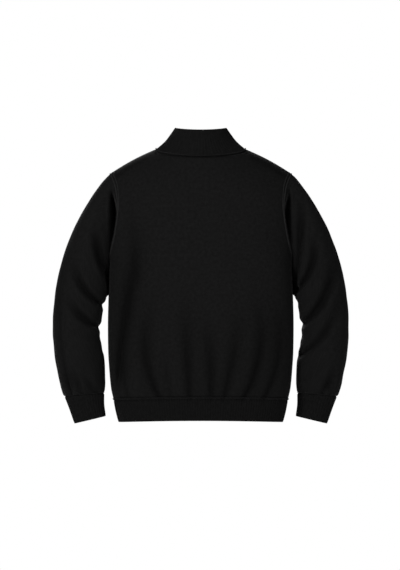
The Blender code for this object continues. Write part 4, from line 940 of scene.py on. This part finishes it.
def path_tree(name):
    """Sets copies of one small shape along a path, each turned with the path and the surface under it."""
    tree = bpy.data.node_groups.new(name, "GeometryNodeTree")
    face = tree.interface
    face.new_socket("Path", in_out="INPUT", socket_type="NodeSocketGeometry")
    wanted = {"Shape": "Object", "Spacing": "Float", "Finish": "Material", "Turn every other": "Float"}
    names = {}
    for label, kind in wanted.items():
        names[label] = face.new_socket(label, in_out="INPUT", socket_type=f"NodeSocket{kind}").identifier
    face.new_socket("Placed", in_out="OUTPUT", socket_type="NodeSocketGeometry")

    def add(kind, settings=(), **links):
        made = tree.nodes.new(kind)
        for key, value in dict(settings).items():
            setattr(made, key, value)
        for key, value in links.items():
            numbered = key[0] == "i" and key[1:].isdigit()
            socket = made.inputs[int(key[1:]) if numbered else key.replace("_", " ")]
            if isinstance(value, bpy.types.NodeSocket):
                tree.links.new(value, socket)
            else:
                socket.default_value = value
        return made

    given = add("NodeGroupInput").outputs
    line = add("GeometryNodeMeshToCurve", Mesh=given["Path"]).outputs[0]
    by_length = {"mode": "LENGTH"}
    even = add("GeometryNodeResampleCurve", by_length, Curve=line, Length=given["Spacing"]).outputs[0]
    tangent = add("GeometryNodeInputTangent").outputs[0]
    vector = {"data_type": "FLOAT_VECTOR"}
    normal = add("GeometryNodeInputNamedAttribute", vector, Name="off_surface").outputs[0]
    first = add("FunctionNodeAlignRotationToVector", {"axis": "Z"}, Vector=tangent).outputs[0]
    about_z = {"axis": "Y", "pivot_axis": "Z"}
    second = add("FunctionNodeAlignRotationToVector", about_z, Rotation=first, Vector=normal).outputs[0]
    number = add("GeometryNodeInputIndex").outputs[0]
    odd = add("ShaderNodeMath", {"operation": "MODULO"}, i0=number, i1=2.0).outputs[0]
    angle = add("ShaderNodeMath", {"operation": "MULTIPLY"}, i0=odd, i1=given["Turn every other"]).outputs[0]
    spin = add("ShaderNodeCombineXYZ", Z=angle).outputs[0]
    local = {"rotation_space": "LOCAL"}
    turned = add("FunctionNodeRotateRotation", local, Rotation=second, Rotate_By=spin).outputs[0]
    shape = add("GeometryNodeObjectInfo", Object=given["Shape"]).outputs["Geometry"]
    placed = add("GeometryNodeInstanceOnPoints", Points=even, Instance=shape, Rotation=turned).outputs[0]
    real = add("GeometryNodeRealizeInstances", Geometry=placed).outputs[0]
    finished = add("GeometryNodeSetMaterial", Geometry=real, Material=given["Finish"]).outputs[0]
    add("NodeGroupOutput", Placed=finished)
    return tree, names


along_path, along_names = path_tree("set along a path")


def made_plain(made):
    """Gives an object the mesh that its modifier makes of it."""
    bpy.context.view_layer.update()
    graph = bpy.context.evaluated_depsgraph_get()
    plain = bpy.data.meshes.new_from_object(made.evaluated_get(graph), depsgraph=graph)
    made.modifiers.clear()
    made.data = plain
    plain.shade_smooth()


def set_along(name, lines, shape, spacing, finish, turn=0.0):
    """Copies of a shape along lines of (points, normals, closed), as one plain mesh."""
    points = np.concatenate([line[0] for line in lines])
    normals = np.concatenate([unit(line[1]) for line in lines])
    edges, start = [], 0
    for line, _, closed in lines:
        edges += [(start + i, start + i + 1) for i in range(len(line) - 1)]
        if closed:
            edges.append((start + len(line) - 1, start))
        start += len(line)
    mesh = bpy.data.meshes.new(name)
    mesh.from_pydata([tuple(point) for point in points], edges, [])
    off_surface = mesh.attributes.new("off_surface", "FLOAT_VECTOR", "POINT")
    off_surface.data.foreach_set("vector", normals.reshape(-1))
    path = add_object(name, mesh)
    modifier = path.modifiers.new("along", "NODES")
    modifier.node_group = along_path
    given = {"Shape": shape, "Spacing": spacing, "Finish": finish, "Turn every other": turn}
    for label, value in given.items():
        modifier[along_names[label]] = value
    made_plain(path)
    return path


def small_shape(name, points, faces):
    """A shape to be copied along a path. It isn't a piece itself."""
    mesh = bpy.data.meshes.new(name)
    mesh.from_pydata([tuple(point) for point in points], [], faces)
    face_outwards(mesh, unsorted=True)
    return bpy.data.objects.new(name, mesh)


def bead(name, long, wide, high, lean=0.0, rings=4, sides=6):
    """A rounded grain along Z that lies on its surface, Y being away from it."""
    points = [(0, 0, -long / 2)]
    for i in range(1, rings):
        t = math.pi * i / rings
        for j in range(sides):
            a = 2 * math.pi * j / sides
            z = -long / 2 * math.cos(t)
            x = wide / 2 * math.sin(t) * math.cos(a) + lean * z
            points.append((x, high * math.sin(t) * math.sin(a), z))
    points.append((0, 0, long / 2))
    faces = []
    for j in range(sides):
        k = (j + 1) % sides
        faces.append((0, 1 + k, 1 + j))
        for i in range(rings - 2):
            a, b = 1 + i * sides, 1 + (i + 1) * sides
            faces.append((a + j, a + k, b + k, b + j))
        faces.append((1 + (rings - 2) * sides + j, 1 + (rings - 2) * sides + k, len(points) - 1))
    return small_shape(name, points, faces)


def yarn(name, grey, sheen):
    finish = Finish(name, Roughness=0.9, Sheen_Weight=sheen, Sheen_Roughness=0.4, Specular_IOR_Level=0.2)
    place = finish.node("ShaderNodeTexCoord", output=3)
    fuzz = finish.noise(1400.0, 3.0, place)
    low, high = grey * 0.7, grey * 1.35
    finish.feed("Base Color", finish.mixed(fuzz, (low, low, low * 1.03), (high, high, high * 1.03)))
    finish.relief(0.5, 0.0003, fuzz)
    return finish.material


linking_yarn = yarn("linking yarn", 0.0150, 0.05)


def welt(name, line, normals, half_width, height, finish, closed=False, lift=0.0):
    """A half-round ridge along a seam: the edge that the two linked pieces turn up between them."""
    run = np.roll(line, -1, 0) - np.roll(line, 1, 0) if closed else np.gradient(line, axis=0)
    run, normals = unit(run), unit(normals)
    side = unit(np.cross(run, normals))
    sides = 8
    angle = 2 * np.pi * np.arange(sides) / sides
    points = line[None] + normals[None] * lift
    points = points + side[None] * (half_width * np.cos(angle))[:, None, None]
    points = points + normals[None] * (height * np.sin(angle))[:, None, None]
    points = points.transpose(1, 0, 2)
    count = len(line)
    spans = count if closed else count - 1
    faces, uv = [], []
    length = np.concatenate([[0], np.cumsum(np.linalg.norm(np.diff(line, axis=0), axis=1))])
    for i in range(spans):
        j = (i + 1) % count
        ahead = length[j] if j > i else length[i] + 0.002
        for k in range(sides):
            m = (k + 1) % sides
            faces.append((i * sides + k, j * sides + k, j * sides + m, i * sides + m))
            low, high = k * 0.0006, (k + 1) * 0.0006
            uv.append([(low, length[i]), (low, ahead), (high, ahead), (high, length[i])])
    if not closed:
        for i in (0, count - 1):
            faces.append(tuple(i * sides + k for k in range(sides)))
            uv.append([(k * 0.0006, length[i]) for k in range(sides)])
    made = mesh_piece(name, points.reshape(-1, 3), faces, uv, finish)
    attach(made, "garment")
    return made


seam_loop = bead("seam_loop", LOOP_LONG, LOOP_WIDE, LOOP_HIGH, lean=0.5)
neck_seam, neck_out = collar_base[3][::6], collar_normal[3][::6]
# The collar and hem welts use the edge finish, whose lighter colour is a painted highlight.
welt("collar_welt", neck_seam, neck_out, 0.0018, 0.0024, edge_knit_painted_highlight, lift=0.0008)
hem_line, hem_out = hem_base[-1][::5], hem_normal[-1][::5]
welt("hem_welt", hem_line + (0, 0, -0.0026), hem_out, 0.0013, 0.0014, edge_knit_painted_highlight, lift=0.0006)
seam_lines = [(neck_seam + neck_out * 0.0030, neck_out, False)]
seam_lines.append((hem_line + hem_out * 0.0023, hem_out, False))
for side, side_name in SIDE_NAMES.items():
    loop = armhole_loops[side]
    body_part = {}
    for face, panel in ((1, back_halves[side]), (-1, front_grids[side])):
        normal = grid_normals(panel, (0, face, 0))
        body_part[face] = normal[::-1][: ARMHOLE_ROWS + 1, -3]
    out = np.concatenate([body_part[1], body_part[-1][::-1][1:-1]])
    for _ in range(12):
        out = unit(np.roll(out, 1, 0) + out + np.roll(out, -1, 0))
    # The armhole welts use the armhole finish, whose lighter colour is a painted highlight.
    welt(f"armhole_welt_{side_name}", loop, out, 0.0018, 0.0015, armhole_knit_painted_highlight, closed=True, lift=0.0004)
    base = cuff_grids[side]
    cuff_out = unit(base[0] - base[0].mean(axis=0))[::4]
    welt(f"cuff_welt_{side_name}", base[0][::4], cuff_out, 0.0009, 0.0012, rib_knit, closed=True, lift=0.0008)
    seam_lines.append((base[0][::4] + cuff_out * 0.0021, cuff_out, True))
linking = set_along("linking_loops", seam_lines, seam_loop, LOOP_PITCH, linking_yarn)
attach(linking, "garment")


# ------------------------------------------------------------
# Armhole marks: a second fine line runs inside each armhole seam, where the knitting was narrowed,
# and plain seams close the shoulders and sides.
# ------------------------------------------------------------
MARK_INSIDE, MARK_LOW, MARK_END_Z = 0.0068, 0.0022, -0.155
for side, side_name in SIDE_NAMES.items():
    for face, panel, face_name in ((1, back_halves[side], "back"), (-1, front_grids[side], "front")):
        normal = grid_normals(panel, (0, face, 0))
        reach = np.linalg.norm(panel - panel[:, -1:], axis=2)
        line, out = [], []
        for row in range(len(panel) - ARMHOLE_ROWS, len(panel) - 1):
            near_top = ease(MARK_END_Z - 0.01, -0.085, panel[row, -1, 2])
            if panel[row, -1, 2] < MARK_END_Z:
                continue
            inside = MARK_LOW + (MARK_INSIDE - MARK_LOW) * near_top
            far = max(int(np.argmax(reach[row] < inside)) - 1, 0)
            span = max(reach[row, far] - reach[row, far + 1], 1e-6)
            t = np.clip((reach[row, far] - inside) / span, 0, 1)
            line.append(panel[row, far] * (1 - t) + panel[row, far + 1] * t)
            out.append(normal[row, far])
        name = f"narrowing_{face_name}_{side_name}"
        # drawn in the armhole finish, whose lighter colour is a painted highlight
        welt(name, np.array(line), np.array(out), 0.0013, 0.0011, armhole_knit_painted_highlight, lift=0.0003)

for side, side_name in SIDE_NAMES.items():
    shoulder = back_halves[side][-1, NECK_COLUMNS:-1:3]
    upwards = np.tile((0.0, 0.0, 1.0), (len(shoulder), 1))
    welt(f"shoulder_seam_{side_name}", shoulder, upwards, 0.0012, 0.0009, jersey)
    below = back_halves[side][: len(LOWER_DROPS) * FINER + 1 : 3, -1]
    sideways = np.tile((side, 0.0, 0.0), (len(below), 1))
    welt(f"side_seam_{side_name}", below, sideways, 0.0011, 0.0008, jersey)


# ------------------------------------------------------------
# Zip tapes: two narrow herringbone tapes, woven, dyed black, sewn behind the fronts' edges. They
# keep their solids' form.
# ------------------------------------------------------------
tape_weave = Finish("black zip tape", Roughness=0.85, Sheen_Weight=0.02, Specular_IOR_Level=0.15)
place = tape_weave.node("ShaderNodeTexCoord", output=3)
x, _, z = tape_weave.split(place)
zigzag = (x / 0.0024).math("PINGPONG", 1.0)
twill_relief_and_shade = ((z / 0.0009 + zigzag * 1.3) * (2 * math.pi)).math("SINE") * 0.5 + 0.5
# Painted shade: the tape's colour is darker where the twill's relief is low.
tape_weave.feed("Base Color", tape_weave.mixed(twill_relief_and_shade, (0.004,) * 3, (0.012,) * 3))
tape_weave.relief(0.6, 0.0003, twill_relief_and_shade)
for side_name in SIDE_NAMES.values():
    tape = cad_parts[f"zip_tape_{side_name}"]
    tape.data.materials.clear()
    tape.data.materials.append(tape_weave.material)


# ------------------------------------------------------------
# Zip chain: cast teeth clamped on the tapes' inner edges in turn, left and right, meshing in the
# middle, from the box at the hem up to the slider.
# ------------------------------------------------------------
CHAIN_HALF, CHAIN_THICK, TOOTH_PITCH = 0.0030, 0.0024, 0.00125

black_metal = Finish("black metal", Metallic=0.35, Roughness=0.5, Specular_IOR_Level=0.25)
place = black_metal.node("ShaderNodeTexCoord", output=3)
grain, wear = black_metal.noise(700.0, 4.0, place), black_metal.noise(160.0, 2.0, place)
black_metal.feed("Base Color", black_metal.mixed(wear, (0.010, 0.010, 0.0105), (0.030, 0.030, 0.031)))
black_metal.feed("Roughness", grain * 0.25 + 0.28)

chain_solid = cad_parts["zip_chain"]
points = np.array([vertex.co for vertex in chain_solid.data.vertices])
levels = np.unique(np.round(points[:, 2], 4))
tops = []
for z in levels:
    near = points[np.abs(points[:, 2] - z) < 0.0012]
    tops.append((0, near[:, 1].mean(), near[:, 2].mean()))
tops = np.array(tops)
keep = [0]
for i in range(1, len(tops)):
    if tops[i, 2] - tops[keep[-1], 2] > 0.004:
        keep.append(i)
spine = tops[keep]
spine = even_line(np.concatenate([spine, tops[-1:]]) if keep[-1] != len(tops) - 1 else spine, 240)
spine[:, 0] = 0
run = unit(np.gradient(spine, axis=0))
spine_out = np.stack([np.zeros(len(run)), -run[:, 2], run[:, 1]], axis=1)

# The tapes' corded inner edges, that the teeth are clamped on. They run from the box to the tapes' top
CORD = [(0.0005, 0.0), (0.0008, 0.0005), (0.0014, 0.0006), (0.0032, 0.0004)]  # out from the middle, off the tape
CORD += [(x, -lift) for x, lift in CORD[:0:-1]]
tape_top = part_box("zip_tape_left")[1].z - 0.0004
reach_down, reach_up = 0.0086, (tape_top - spine[-1, 2]) / max(run[-1, 2], 0.5)
edge_path = np.concatenate([[spine[0] - run[0] * reach_down], spine[::6], [spine[-1] + run[-1] * reach_up]])
edge_run = unit(np.gradient(edge_path, axis=0))
edge_out = np.stack([np.zeros(len(edge_run)), -edge_run[:, 2], edge_run[:, 1]], axis=1)
for side, side_name in SIDE_NAMES.items():
    cord = np.stack([edge_path + (side * x, 0, 0) + edge_out * lift for x, lift in CORD], axis=1)
    rows, ring = cord.shape[:2]
    faces = []
    for r in range(rows - 1):
        for c in range(ring):
            a, b = r * ring + c, r * ring + (c + 1) % ring
            faces.append((a, b, b + ring, a + ring))
    faces += [tuple(range(ring))[::-1], tuple((rows - 1) * ring + c for c in range(ring))]
    corded = mesh_piece(f"tape_cord_{side_name}", cord.reshape(-1, 3), faces, None, tape_weave.material)
    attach(corded, "garment")

HEAD, NECK, FOOT = 0.0008, 0.0005, 0.00105  # half heights of a tooth along the chain
profile = [(-0.0004, HEAD * 0.6), (0.0006, HEAD), (0.0010, HEAD * 0.75), (0.0014, NECK), (CHAIN_HALF, FOOT)]
outline = profile + [(x, -z) for x, z in profile[::-1]]
half_thick = CHAIN_THICK / 2
tooth_points = []
for s in (-1, 1):
    tooth_points += [(x, half_thick * s * (1.0 if x > 0.0005 else 0.8), z * 0.62) for x, z in outline]
n = len(outline)
tooth_faces = [tuple(range(n)), tuple(range(2 * n - 1, n - 1, -1))]
tooth_faces += [(i, n + i, n + (i + 1) % n, (i + 1) % n) for i in range(n)]
tooth = small_shape("tooth", tooth_points, tooth_faces)
chain = set_along("zip_teeth", [(spine, spine_out, False)], tooth, TOOTH_PITCH, black_metal.material, math.pi)
chain.data.shade_flat()
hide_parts("zip_chain")
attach(chain, "garment")


# ------------------------------------------------------------
# Box, stops, slider and pull tab: small die castings with the same black finish. The slider's bridge
# holds the pull tab's bar, on which the tab swings.
# ------------------------------------------------------------
PULL_LENGTH, EYE_HALF, EYE_DEPTH, EYE_WALL, BAR_HALF = 0.026, 0.0013, 0.0044, 0.0013, 0.0006


def soften(made, width):
    """Rounds a casting's edges."""
    bevel = made.modifiers.new("edges", "BEVEL")
    bevel.width, bevel.segments, bevel.limit_method = width, 2, "ANGLE"
    bevel.angle_limit = math.radians(35)
    made_plain(made)
    made.data.set_sharp_from_angle(angle=math.radians(40))


for name in ("zip_box", "zip_stop_left", "zip_stop_right", "zip_slider"):
    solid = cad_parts[name]
    mesh = solid.data.copy()
    work = bmesh.new()
    work.from_mesh(mesh)
    bmesh.ops.remove_doubles(work, verts=work.verts, dist=1e-6)
    bmesh.ops.dissolve_limit(work, angle_limit=math.radians(2), verts=work.verts, edges=work.edges)
    work.to_mesh(mesh)
    work.free()
    mesh.materials.clear()
    mesh.materials.append(black_metal.material)
    casting = add_object(f"{name}_casting", mesh)
    soften(casting, 0.0003 if name == "zip_slider" else 0.00045)
    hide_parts(name)
    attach(casting, "garment")

low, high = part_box("zip_pull")
pivot = np.array([(low.x + high.x) / 2, (low.y + high.y) / 2, high.z - BAR_HALF])
half = EYE_HALF + EYE_WALL
steps = np.linspace(0, math.pi, 13)
outline = [(-half, -EYE_DEPTH - 0.002), (-half, BAR_HALF - 0.0004), (-half + 0.0004, BAR_HALF)]
outline += [(half - 0.0004, BAR_HALF), (half, BAR_HALF - 0.0004), (half, -EYE_DEPTH - 0.002)]
outline += [(half * 0.72, -EYE_DEPTH - 0.0045), (half * 0.80, -PULL_LENGTH * 0.62)]
outline += [(half * math.cos(a), -PULL_LENGTH + half - half * math.sin(a)) for a in steps]
outline += [(-half * 0.80, -PULL_LENGTH * 0.62), (-half * 0.72, -EYE_DEPTH - 0.0045)]
eye = [(-EYE_HALF, -BAR_HALF), (EYE_HALF, -BAR_HALF), (EYE_HALF, -EYE_DEPTH), (-EYE_HALF, -EYE_DEPTH)]
HOLE, HOLE_Z = 0.0012, -PULL_LENGTH + half + 0.0004
whole_turn = np.linspace(0, 2 * math.pi, 17)[:-1]
hole = [(HOLE * math.cos(a), HOLE_Z + HOLE * math.sin(a)) for a in whole_turn]
work = bmesh.new()
loops = []
for ring in (outline, eye, hole):
    verts = [work.verts.new((x, -BAR_HALF, z)) for x, z in ring]
    loops += [work.edges.new((verts[i], verts[(i + 1) % len(verts)])) for i in range(len(verts))]
filled = bmesh.ops.triangle_fill(work, use_beauty=True, use_dissolve=False, edges=loops)
flat_faces = [item for item in filled["geom"] if isinstance(item, bmesh.types.BMFace)]
raised = bmesh.ops.extrude_face_region(work, geom=flat_faces)
moved = [item for item in raised["geom"] if isinstance(item, bmesh.types.BMVert)]
bmesh.ops.translate(work, verts=moved, vec=(0, 2 * BAR_HALF, 0))
bmesh.ops.recalc_face_normals(work, faces=work.faces)
bmesh.ops.dissolve_limit(work, angle_limit=math.radians(1), verts=work.verts, edges=work.edges)
bmesh.ops.translate(work, verts=work.verts, vec=pivot)
tab_mesh = bpy.data.meshes.new("pull_tab")
work.to_mesh(tab_mesh)
work.free()
tab_mesh.materials.append(black_metal.material)
tab = add_object("pull_tab", tab_mesh)
soften(tab, 0.00022)
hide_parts("zip_pull")
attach(tab, "pull_tab")
